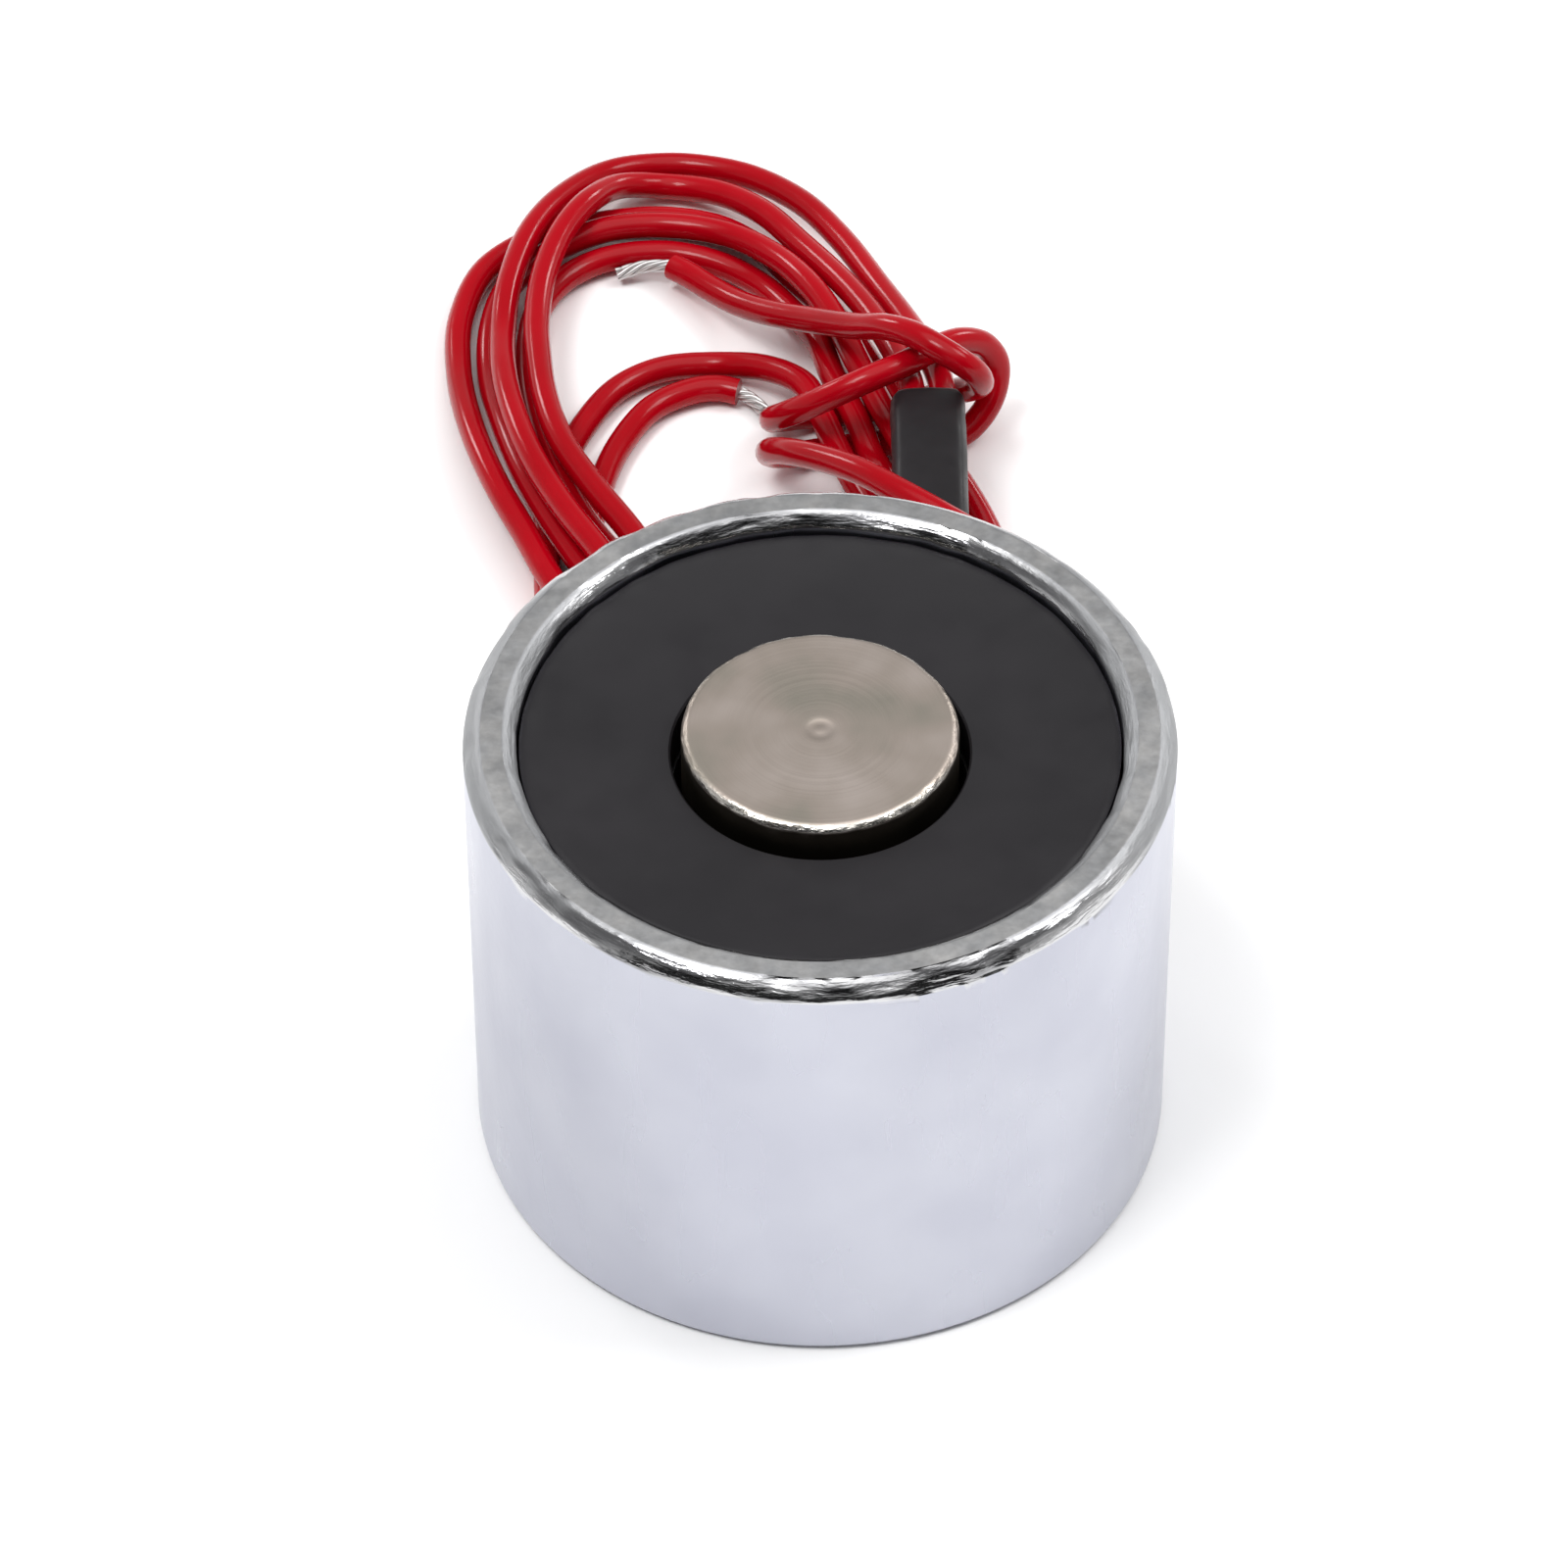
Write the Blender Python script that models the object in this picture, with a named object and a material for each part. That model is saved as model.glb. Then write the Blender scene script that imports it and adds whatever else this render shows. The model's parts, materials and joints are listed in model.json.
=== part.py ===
"""A small holding electromagnet with two lead wires, in metres, +Z up.

The pot stands on its back at z = 0 and its axis is the Z axis. The pole face and the
rim look up. The leads leave through a hole low in the wall, towards +Y.
"""
from math import cos, pi, radians, sin

import bpy
import numpy as np
from mathutils import Vector

MM = 0.001

# Fits
FIT = 0.3 * MM               # gap between two solid pieces that touch
WIRE_FIT = 0.12 * MM         # gap round a wire inside the sleeve

# Pot
CUP_RADIUS = 10.0 * MM
WALL_SHARE = 0.15            # of the pot's radius, so that the rim carries the core's flux
CUP_HEIGHT = 15.0 * MM
CUP_WALL = WALL_SHARE * CUP_RADIUS
CUP_FLOOR = 2.4 * MM
RIM_CHAMFER = 0.5 * MM
MOUTH_CHAMFER = 0.4 * MM
BASE_CHAMFER = 0.3 * MM
LEAD_HOLE_RADIUS = 1.45 * MM
LEAD_HOLE_RIM = 0.05 * MM    # metal between the floor and the lead hole
DRILL_OVERRUN = 1.0 * MM     # how far the drill goes on past each side of the wall

# Core
POLE_SHARE = 0.39            # of the pot's radius
POLE_RADIUS = POLE_SHARE * CUP_RADIUS
POLE_CHAMFER = 0.15 * MM
SPIGOT_RADIUS = 3.0 * MM
DIMPLE_RADIUS = 0.25 * MM
DIMPLE_DEPTH = 0.12 * MM
THREAD_HOLE_RADIUS = 1.25 * MM
THREAD_HOLE_DEPTH = 6.0 * MM
DRILL_POINT_DEPTH = 0.7 * MM
COUNTERSINK_RADIUS = 1.7 * MM

# Resin
RESIN_RECESS = 0.85 * MM     # from the rim down to the resin at the core
RESIN_DEPTH = 1.3 * MM
RESIN_CORE_GAP = 0.3 * MM
RESIN_CLIMB = 0.35 * MM      # how far the resin climbs towards the wall
RESIN_CLIMB_WIDTH = 3.0 * MM
RESIN_CLIMB_STEPS = 5

# Bobbin and winding
BARREL_WALL = 0.6 * MM
FLANGE = 0.6 * MM
WIRING_SPACE = 2.5 * MM      # between the pot's floor and the lower flange
SLOT_WIDTH = 0.9 * MM
SLOT_INSET = 0.2 * MM        # from the barrel to the inner end of a slot
START_SLOT_ANGLE = radians(140)
FINISH_SLOT_ANGLE = radians(-12)
RESIN_JACKET = 0.65 * MM     # resin between the tape and the pot's wall
WINDING_TURNS = 14           # visible turns of the outer layer
TURN_BULGE = 0.08 * MM
TAPE_THICKNESS = 0.15 * MM
TAIL_DIAMETER = 0.3 * MM

# Leads and sleeve
LEAD_DIAMETER = 0.85 * MM
LEAD_PITCH = 0.96 * MM       # between the two leads inside the sleeve
SLEEVE_WALL = 0.15 * MM
JOINT_DIAMETER = 0.7 * MM
JOINT_LENGTH = 2.0 * MM
FACE_GAP = 0.12 * MM         # between the ends of pieces on one wire
TINNED_DIAMETER = 0.5 * MM
TINNED_STRANDS = 7
TINNED_TWIST = radians(150)

# Facets
ROUND_STEPS = 96
INNER_STEPS = 48
CURVE_STEPS = 10             # points between two route points of a wire
LONGEST_STEP = 2.9 * MM
SHARPEST_TURN = radians(29)

LEAD_HOLE_HEIGHT = CUP_FLOOR + LEAD_HOLE_RIM + LEAD_HOLE_RADIUS
BORE_RADIUS = CUP_RADIUS - CUP_WALL
BARREL_RADIUS = POLE_RADIUS + FIT + BARREL_WALL
TAPE_RADIUS = BORE_RADIUS - RESIN_JACKET
WINDING_RADIUS = TAPE_RADIUS - TAPE_THICKNESS - FIT
WINDING_BORE = BARREL_RADIUS + FIT
RESIN_LEVEL = CUP_HEIGHT - RESIN_RECESS
RESIN_BOTTOM = RESIN_LEVEL - RESIN_DEPTH
HOLE_Z = LEAD_HOLE_HEIGHT / MM


def inner_points(stops):
    """Route points in the wiring space: (degrees round the axis, share of the bore's radius)."""
    placed = []
    for degrees, share in stops:
        radius = share * BORE_RADIUS / MM
        placed.append((radius * cos(radians(degrees)), radius * sin(radians(degrees)), HOLE_Z))
    return tuple(placed)


# Routes in millimetres, x to the right, y to the back, z up
LEAD_A_INNER = ((111.3, 0.745), (97.66, 0.7063), (84.34, 0.7152), (74.45, 0.8121))
LEAD_B_INNER = ((23.43, 0.7693), (36.21, 0.8165), (48.01, 0.8705), (58.23, 0.9272))
SLEEVE_ROUTE = (
    (3.12, 8.7, HOLE_Z), (3.17, 9.5, HOLE_Z), (3.23, 11.0, HOLE_Z), (3.33, 14.5, 3.85),
    (3.38, 19.0, 3.75), (3.38, 22.6, 3.66), (3.36, 24.5, 3.59), (3.33, 26.0, 3.42),
)
LEAD_A_ROUTE = inner_points(LEAD_A_INNER) + (
    # through the sleeve
    (2.56, 8.0, HOLE_Z), (2.69, 9.5, HOLE_Z), (2.75, 11.0, HOLE_Z), (2.85, 14.5, 3.85),
    (2.9, 19.0, 3.75), (2.9, 23.0, 3.65), (2.87, 25.0, 3.55), (2.85, 26.6, 3.3),
    # round the large loop
    (2.55, 28.2, 2.85), (1.85, 30.4, 2.5), (0.85, 32.7, 2.05), (-0.6, 35.35, 1.45),
    (-1.9, 37.3, 1.15), (-3.3, 38.6, 0.8), (-5.0, 39.15, 0.6), (-6.5, 38.6, 1.1),
    (-7.5, 37.1, 1.75), (-8.3, 35.4, 1.95), (-8.85, 33.2, 2.0), (-9.0, 31.0, 2.05),
    (-8.9, 29.3, 2.15), (-8.65, 27.3, 2.3), (-8.1, 25.2, 2.4), (-7.1, 23.2, 2.4), (-5.8, 21.0, 2.4),
    (-4.9, 19.1, 2.4), (-4.1, 17.0, 2.4), (-2.7, 14.9, 1.9), (-0.9, 13.7, 1.0), (1.0, 13.4, 0.5),
    (3.0, 13.9, 0.5), (4.4, 15.2, 0.5), (5.1, 17.3, 0.5), (5.1, 19.6, 0.5), (4.7, 21.6, 0.5),
    (4.0, 23.3, 0.8),
    # under the sleeve, and the middle strand of the second loop
    (3.0, 25.1, 1.3), (2.0, 27.0, 1.95), (1.2, 29.0, 2.15), (0.55, 30.9, 2.1), (-0.35, 32.9, 1.95),
    (-1.5, 34.8, 1.5), (-3.0, 36.2, 1.15), (-5.0, 36.8, 1.0), (-7.0, 36.6, 0.97),
    (-8.8, 35.75, 0.7), (-10.0, 34.4, 0.5), (-10.5, 32.5, 0.5), (-10.5, 30.2, 0.5),
    (-10.0, 27.4, 1.1), (-9.2, 24.6, 1.4), (-8.2, 22.3, 1.4), (-7.1, 20.2, 1.4), (-5.8, 18.4, 1.4),
    (-4.2, 16.8, 1.48), (-3.1, 16.25, 1.2), (-2.1, 15.85, 0.75), (-0.1, 15.7, 0.5),
    (1.5, 16.1, 0.5), (2.7, 17.2, 0.5), (3.1, 19.1, 0.5), (2.8, 21.2, 0.5), (1.85, 23.3, 0.6),
    # the small loop
    (0.75, 25.2, 1.4), (0.1, 27.1, 1.5), (-0.5, 28.7, 1.48), (-1.7, 30.0, 1.0), (-3.2, 30.7, 0.5),
    (-5.0, 30.5, 0.5), (-6.4, 29.6, 0.5), (-7.4, 28.0, 0.5), (-8.1, 26.2, 0.45), (-8.5, 24.2, 0.45),
    (-8.5, 22.0, 0.45), (-8.4, 19.4, 0.5), (-8.2, 17.0, 0.5), (-7.5, 14.8, 0.5), (-6.2, 13.2, 0.5),
    (-4.1, 12.1, 0.5), (-1.4, 11.5, 0.5), (1.6, 11.4, 0.5), (4.4, 12.0, 0.5), (6.4, 13.8, 0.5),
    # the first wrap, over the sleeve and back under the bundle
    (7.1, 15.4, 1.3), (6.7, 16.7, 2.8), (5.7, 17.6, 4.2), (4.7, 18.35, 4.85), (3.7, 19.15, 4.95),
    (2.4, 20.25, 4.9), (1.3, 21.4, 4.6), (0.2, 22.6, 4.0), (-0.9, 23.8, 3.2), (-1.55, 24.8, 2.3),
    (-1.5, 25.7, 1.3), (-0.7, 26.45, 0.6), (0.5, 26.8, 0.5), (1.9, 27.05, 0.5), (3.3, 27.2, 0.5),
    # the second wrap
    (4.4, 27.4, 0.55), (5.1, 27.9, 0.95), (5.5, 28.4, 1.6), (5.55, 28.75, 2.4), (5.15, 28.75, 3.15),
    (4.4, 28.3, 3.75), (3.5, 27.5, 4.1), (2.6, 26.7, 4.22), (1.7, 26.15, 4.22), (0.7, 25.9, 3.85),
    (-0.3, 26.0, 3.15), (-1.1, 26.45, 2.3), (-1.5, 27.1, 1.5), (-1.35, 27.8, 0.85),
    (-0.6, 28.25, 0.55), (0.6, 28.45, 0.5), (2.0, 28.75, 0.5),
    # the free end, once more over the bundle
    (3.3, 28.75, 0.8), (4.15, 28.35, 1.5), (4.65, 27.7, 2.25), (4.95, 27.05, 3.0),
    (5.0, 26.45, 3.75), (4.8, 26.1, 4.45), (4.3, 26.05, 4.97), (3.6, 26.4, 5.24), (2.9, 27.0, 5.2),
    (2.1, 27.75, 4.82), (1.1, 28.75, 3.95), (-0.5, 30.45, 2.7), (-1.7, 31.65, 1.9),
    (-2.7, 32.8, 1.3), (-3.6, 33.9, 0.95), (-4.2, 34.6, 0.82), (-4.75, 35.05, 0.78),
)
TINNED_A_ROUTE = ((-4.85, 35.11, 0.77), (-5.7, 35.25, 0.6), (-6.55, 35.1, 0.4))
LEAD_B_ROUTE = inner_points(LEAD_B_INNER) + (
    # through the sleeve
    (3.62, 8.0, HOLE_Z), (3.65, 9.5, HOLE_Z), (3.71, 11.0, HOLE_Z), (3.81, 14.5, 3.85),
    (3.86, 19.0, 3.75), (3.86, 23.0, 3.65), (3.83, 25.0, 3.55), (3.81, 26.6, 3.3),
    # round the large loop
    (3.45, 28.5, 2.9), (2.75, 30.6, 2.4), (1.85, 32.9, 1.9), (0.7, 35.6, 1.45), (-0.6, 37.8, 1.1),
    (-2.2, 39.4, 0.75), (-3.6, 40.1, 0.55), (-5.0, 40.3, 0.5), (-6.8, 39.7, 0.75),
    (-8.3, 38.0, 1.2), (-9.3, 36.0, 1.5), (-9.95, 33.3, 1.6), (-10.1, 31.0, 1.6),
    (-10.0, 28.9, 1.95), (-9.7, 27.0, 2.2), (-9.0, 24.5, 2.4), (-8.0, 22.3, 2.4), (-6.8, 20.2, 2.4),
    (-5.9, 18.5, 2.4), (-4.9, 16.4, 2.4), (-3.4, 14.3, 1.9), (-1.5, 12.8, 1.0), (0.9, 12.4, 0.5),
    (3.3, 12.9, 0.5), (5.1, 14.4, 0.5), (6.05, 16.9, 0.5), (6.1, 19.5, 0.5), (5.6, 21.8, 0.5),
    (4.9, 23.7, 0.8),
    # under the sleeve, and the outer strand of the second loop
    (3.8, 25.6, 1.3), (2.6, 27.5, 1.45), (1.7, 29.5, 1.4), (0.9, 31.3, 1.3), (0.05, 33.0, 1.08),
    (-1.0, 34.8, 0.7), (-2.0, 36.3, 0.5), (-3.3, 37.25, 0.5), (-5.0, 37.65, 0.5),
    (-6.8, 37.55, 0.45), (-9.0, 36.85, 0.45), (-10.75, 35.25, 0.5), (-11.5, 32.9, 0.5),
    (-11.5, 30.3, 0.6), (-11.0, 27.2, 1.1), (-10.1, 24.2, 1.4), (-9.2, 22.1, 1.4),
    (-8.1, 19.6, 1.4), (-6.7, 17.6, 1.4), (-4.8, 16.0, 1.48), (-3.5, 15.35, 1.15),
    (-2.2, 14.85, 0.75), (-0.2, 14.7, 0.5), (2.0, 15.2, 0.5), (3.6, 16.7, 0.5), (4.1, 19.0, 0.5),
    (3.75, 21.5, 0.5), (2.8, 23.5, 0.7),
    # the inner strand of the second loop
    (1.7, 25.4, 1.3), (1.1, 27.3, 1.45), (0.4, 29.2, 1.4), (-0.1, 31.0, 1.3), (-0.95, 32.85, 0.87),
    (-2.05, 34.6, 0.5), (-3.4, 35.55, 0.5), (-5.0, 36.0, 0.5), (-6.8, 35.75, 0.5),
    (-8.2, 34.8, 0.5), (-9.1, 33.1, 0.5), (-9.3, 31.0, 0.5), (-9.0, 28.2, 1.15), (-8.4, 25.5, 1.45),
    (-7.4, 22.7, 1.45), (-6.0, 20.6, 1.2), (-4.85, 19.3, 0.6),
    # a turn behind the pot, and back along the small loop
    (-4.35, 18.2, 0.5), (-4.35, 17.1, 0.5), (-4.85, 16.1, 0.5), (-5.8, 15.65, 0.5),
    (-6.7, 16.0, 0.5), (-7.2, 17.0, 0.5), (-7.4, 18.3, 0.5), (-7.45, 20.0, 0.45),
    (-7.3, 22.3, 0.45), (-6.9, 25.0, 0.5), (-6.3, 27.0, 0.5), (-5.3, 28.7, 0.5), (-4.0, 29.5, 0.5),
    (-3.2, 29.6, 0.5), (-2.6, 29.45, 0.48),
)
TINNED_B_ROUTE = ((-2.5, 29.4, 0.47), (-2.1, 29.1, 0.42), (-1.65, 28.5, 0.38))


def material(name, colour, roughness, metallic):
    """A Principled material of one colour."""
    made = bpy.data.materials.new(name)
    made.use_nodes = True
    shader = made.node_tree.nodes["Principled BSDF"]
    shader.inputs["Base Color"].default_value = (*colour, 1.0)
    shader.inputs["Roughness"].default_value = roughness
    shader.inputs["Metallic"].default_value = metallic
    return made


def mesh_object(name, points, edges, faces):
    """A new object from points, edges and faces."""
    mesh = bpy.data.meshes.new(name)
    mesh.from_pydata([tuple(point) for point in points], edges, faces)
    mesh.validate()
    made = bpy.data.objects.new(name, mesh)
    bpy.context.collection.objects.link(made)
    return made


def turned(name, profile, finish, steps, through):
    """A turned piece: (radius, height) points from the top down the outer side."""
    points = [(radius, 0.0, height) for radius, height in profile]
    edges = [(index, index + 1) for index in range(len(points) - 1)]
    if through:
        edges.append((len(points) - 1, 0))
    made = mesh_object(name, points, edges, [])
    spin = made.modifiers.new("Turn", "SCREW")
    spin.axis = "Z"
    spin.angle = 2 * pi
    spin.steps = steps
    spin.render_steps = steps
    spin.use_merge_vertices = True
    spin.merge_threshold = 0.000001
    spin.use_normal_calculate = False
    made.data.materials.append(finish)
    return made


def cut(piece, cutter):
    """Take the cutter's shape out of the piece."""
    boolean = piece.modifiers.new("Cut " + cutter.name, "BOOLEAN")
    boolean.operation = "DIFFERENCE"
    boolean.solver = "EXACT"
    boolean.object = cutter
    cutter.hide_render = True
    cutter.display_type = "WIRE"


def fix_and_smooth(piece, sharp_angle):
    """Replace the piece's mesh by its evaluated one and shade its round faces smooth."""
    bpy.context.view_layer.update()
    graph = bpy.context.evaluated_depsgraph_get()
    mesh = bpy.data.meshes.new_from_object(piece.evaluated_get(graph))
    mesh.name = piece.name
    piece.modifiers.clear()
    piece.data = mesh
    mesh.shade_smooth()
    mesh.set_sharp_from_angle(angle=sharp_angle)


def smooth_curve(route, steps):
    """Points of one smooth curve through a route in millimetres (centripetal Catmull-Rom)."""
    stops = np.array(route, float) * MM
    first = 2 * stops[0] - stops[1]
    last = 2 * stops[-1] - stops[-2]
    stops = np.vstack([first, stops, last])
    points = []
    for p0, p1, p2, p3 in zip(stops, stops[1:], stops[2:], stops[3:]):
        knots = [0.0]
        for start, end in ((p0, p1), (p1, p2), (p2, p3)):
            knots.append(knots[-1] + np.linalg.norm(end - start) ** 0.5)
        t0, t1, t2, t3 = knots
        for step in range(steps):
            t = t1 + (t2 - t1) * step / steps
            a1 = (t1 - t) / (t1 - t0) * p0 + (t - t0) / (t1 - t0) * p1
            a2 = (t2 - t) / (t2 - t1) * p1 + (t - t1) / (t2 - t1) * p2
            a3 = (t3 - t) / (t3 - t2) * p2 + (t - t2) / (t3 - t2) * p3
            b1 = (t2 - t) / (t2 - t0) * a1 + (t - t0) / (t2 - t0) * a2
            b2 = (t3 - t) / (t3 - t1) * a2 + (t - t1) / (t3 - t1) * a3
            points.append(Vector((t2 - t) / (t2 - t1) * b1 + (t - t1) / (t2 - t1) * b2))
    points.append(Vector(stops[-2]))
    return points


def read_points(curve):
    """The curve's points a long step apart, and closer where it bends."""
    taken = [curve[0]]
    travelled = 0.0
    bent = 0.0
    for before, here, after in zip(curve, curve[1:], curve[2:]):
        travelled += (here - before).length
        bent += (here - before).angle(after - here)
        if travelled >= LONGEST_STEP or bent >= SHARPEST_TURN:
            taken.append(here)
            travelled = 0.0
            bent = 0.0
    taken.append(curve[-1])
    return taken


def wire(name, points, diameter, finish):
    """A round wire along points, with closed ends."""
    curve = bpy.data.curves.new(name, "CURVE")
    curve.dimensions = "3D"
    curve.bevel_depth = diameter / 2
    curve.bevel_resolution = 2
    curve.use_fill_caps = True
    spline = curve.splines.new("POLY")
    spline.points.add(len(points) - 1)
    for stop, point in zip(spline.points, points):
        stop.co = (*point, 1.0)
    made = bpy.data.objects.new(name, curve)
    bpy.context.collection.objects.link(made)
    curve.materials.append(finish)
    return made


def stations(points):
    """Each point with the side and up directions of a section across the path."""
    placed = []
    for index, point in enumerate(points):
        ahead = points[min(index + 1, len(points) - 1)] - points[max(index - 1, 0)]
        side = ahead.cross(Vector((0, 0, 1))).normalized()
        up = side.cross(ahead).normalized()
        placed.append((point, side, up))
    return placed


def sweep_rings(placed, section):
    """Rings of points: section(share of the way) gives (side, up) offsets."""
    rings = []
    last = len(placed) - 1
    for index, (point, side, up) in enumerate(placed):
        rings.append([point + side * u + up * v for u, v in section(index / last)])
    return rings


def ring_walls(ring_count, size, first):
    """Quads between rings of points that are numbered from first."""
    faces = []
    for ring in range(ring_count - 1):
        for index in range(size):
            a = first + ring * size + index
            b = first + ring * size + (index + 1) % size
            faces.append((a, b, b + size, a + size))
    return faces


def closed_sweep(rings, sides):
    """The points and faces of a solid through rings, closed at both ends."""
    faces = ring_walls(len(rings), sides, 0)
    faces.append(tuple(range(sides - 1, -1, -1)))
    faces.append(tuple(range(sides * (len(rings) - 1), sides * len(rings))))
    return [point for ring in rings for point in ring], faces


def stadium(width, thickness, corner_steps):
    """A flat oval section with half-round sides, counted once round."""
    radius = thickness / 2
    offset = width / 2 - radius
    section = []
    for index in range(2 * corner_steps):
        angle = -pi / 2 + pi * index / (corner_steps - 1)
        if index >= corner_steps:
            angle = pi / 2 + pi * (index - corner_steps) / (corner_steps - 1)
        centre = offset if index < corner_steps else -offset
        section.append((centre + radius * cos(angle), radius * sin(angle)))
    return section


def build_cup(finish):
    """The pot: floor, wall, chamfered rim, core bore and lead hole."""
    bore_for_core = SPIGOT_RADIUS + FIT / 2
    profile = [
        (CUP_RADIUS - RIM_CHAMFER, CUP_HEIGHT),
        (CUP_RADIUS, CUP_HEIGHT - RIM_CHAMFER),
        (CUP_RADIUS, BASE_CHAMFER),
        (CUP_RADIUS - BASE_CHAMFER, 0.0),
        (bore_for_core, 0.0),
        (bore_for_core, CUP_FLOOR),
        (BORE_RADIUS, CUP_FLOOR),
        (BORE_RADIUS, CUP_HEIGHT - MOUTH_CHAMFER),
        (BORE_RADIUS + MOUTH_CHAMFER, CUP_HEIGHT),
    ]
    cup = turned("cup", profile, finish, ROUND_STEPS, through=True)
    reach = 2 * (CUP_WALL + DRILL_OVERRUN)
    bpy.ops.mesh.primitive_cylinder_add(vertices=40, radius=LEAD_HOLE_RADIUS, depth=reach)
    drill = bpy.context.active_object
    drill.name = "lead hole drill"
    drill.rotation_euler = (pi / 2, 0, 0)
    side = SLEEVE_ROUTE[1][0] * MM
    drill.location = (side, (CUP_RADIUS ** 2 - side ** 2) ** 0.5 - CUP_WALL / 2, LEAD_HOLE_HEIGHT)
    cut(cup, drill)
    fix_and_smooth(cup, radians(30))


def build_core(finish):
    """The pole pin with its spigot in the floor and a tapped hole from the back."""
    shoulder = CUP_FLOOR + FIT
    countersink_depth = COUNTERSINK_RADIUS - THREAD_HOLE_RADIUS
    profile = [
        (0.0, CUP_HEIGHT - DIMPLE_DEPTH),
        (DIMPLE_RADIUS, CUP_HEIGHT),
        (POLE_RADIUS - POLE_CHAMFER, CUP_HEIGHT),
        (POLE_RADIUS, CUP_HEIGHT - POLE_CHAMFER),
        (POLE_RADIUS, shoulder),
        (SPIGOT_RADIUS - FIT / 2, shoulder),
        (SPIGOT_RADIUS - FIT / 2, 0.0),
        (COUNTERSINK_RADIUS, 0.0),
        (THREAD_HOLE_RADIUS, countersink_depth),
        (THREAD_HOLE_RADIUS, THREAD_HOLE_DEPTH),
        (0.0, THREAD_HOLE_DEPTH + DRILL_POINT_DEPTH),
    ]
    fix_and_smooth(turned("core", profile, finish, ROUND_STEPS, through=False), radians(30))


def build_potting(finish):
    """The cast resin: flat, open round the core, and climbing a little at the wall."""
    outer = BORE_RADIUS - FIT
    inner = POLE_RADIUS + RESIN_CORE_GAP
    profile = [
        (outer, RESIN_BOTTOM),
        (inner, RESIN_BOTTOM),
        (inner, RESIN_LEVEL),
    ]
    for step in range(RESIN_CLIMB_STEPS):
        share = step / RESIN_CLIMB_STEPS
        profile.append((outer - RESIN_CLIMB_WIDTH * (1 - share), RESIN_LEVEL + RESIN_CLIMB * share ** 2))
    profile.insert(0, (outer, RESIN_LEVEL + RESIN_CLIMB))
    fix_and_smooth(turned("potting", profile, finish, ROUND_STEPS, through=True), radians(40))


def flange_heights():
    """Under and upper side of both flanges of the bobbin."""
    lower = CUP_FLOOR + FIT + WIRING_SPACE
    upper = RESIN_BOTTOM - FIT
    return lower, lower + FLANGE, upper - FLANGE, upper


def build_bobbin(finish):
    """The spool: a barrel, two flanges and a slot for each end of the winding."""
    inner = POLE_RADIUS + FIT
    outer = BORE_RADIUS - FIT
    lower, lower_top, upper_bottom, upper = flange_heights()
    profile = [
        (outer, upper),
        (outer, upper_bottom),
        (BARREL_RADIUS, upper_bottom),
        (BARREL_RADIUS, lower_top),
        (outer, lower_top),
        (outer, lower),
        (BARREL_RADIUS, lower),
        (BARREL_RADIUS, CUP_FLOOR + FIT),
        (inner, CUP_FLOOR + FIT),
        (inner, upper),
    ]
    bobbin = turned("bobbin", profile, finish, INNER_STEPS, through=True)
    for name, angle in (("start slot", START_SLOT_ANGLE), ("finish slot", FINISH_SLOT_ANGLE)):
        bpy.ops.mesh.primitive_cube_add(size=1)
        slot = bpy.context.active_object
        slot.name = name
        slot.dimensions = (outer - BARREL_RADIUS, SLOT_WIDTH, 3 * FLANGE)
        middle = (outer + BARREL_RADIUS) / 2 + SLOT_INSET
        slot.location = (middle * cos(angle), middle * sin(angle), lower + FLANGE / 2)
        slot.rotation_euler = (0, 0, angle)
        cut(bobbin, slot)
    fix_and_smooth(bobbin, radians(30))


def build_winding(winding_finish, tape_finish):
    """The wound coil, with the turns of its outer layer, and the tape over it."""
    lower, lower_top, upper_bottom, upper = flange_heights()
    bottom = lower_top + FIT
    top = upper_bottom - FIT
    pitch = (top - bottom) / WINDING_TURNS
    profile = [(WINDING_RADIUS - TURN_BULGE, top)]
    for turn in range(WINDING_TURNS):
        height = top - pitch * (turn + 0.5)
        profile.append((WINDING_RADIUS, height))
        profile.append((WINDING_RADIUS - TURN_BULGE, height - pitch / 2))
    profile += [(WINDING_BORE, bottom), (WINDING_BORE, top)]
    fix_and_smooth(turned("winding", profile, winding_finish, INNER_STEPS, through=True), radians(60))
    inner = WINDING_RADIUS + FIT
    profile = [(TAPE_RADIUS, top), (TAPE_RADIUS, bottom), (inner, bottom), (inner, top)]
    fix_and_smooth(turned("winding_tape", profile, tape_finish, INNER_STEPS, through=True), radians(30))


def joint_ends(lead_route):
    """Both ends of a joint: one at its lead, the other straight on behind it."""
    start, following = (Vector(stop) * MM for stop in lead_route[:2])
    way = (start - following).normalized()
    near = start + way * FACE_GAP
    return near, near + way * JOINT_LENGTH, way


def build_joint(name, lead_route, finish):
    """A soldered joint: a spindle between a lead and its tail."""
    near, far, way = joint_ends(lead_route)
    sides = 16
    steps = 9
    placed = stations([near.lerp(far, step / (steps - 1)) for step in range(steps)])

    def section(share):
        """A round section, thickest half-way."""
        radius = JOINT_DIAMETER / 2 * (0.45 + 0.55 * sin(pi * (0.08 + 0.84 * share)))
        angles = [2 * pi * index / sides for index in range(sides)]
        return [(radius * cos(angle), radius * sin(angle)) for angle in angles]

    rings = sweep_rings(placed, section)
    close_solid(name, *closed_sweep(rings, sides), finish)


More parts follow.
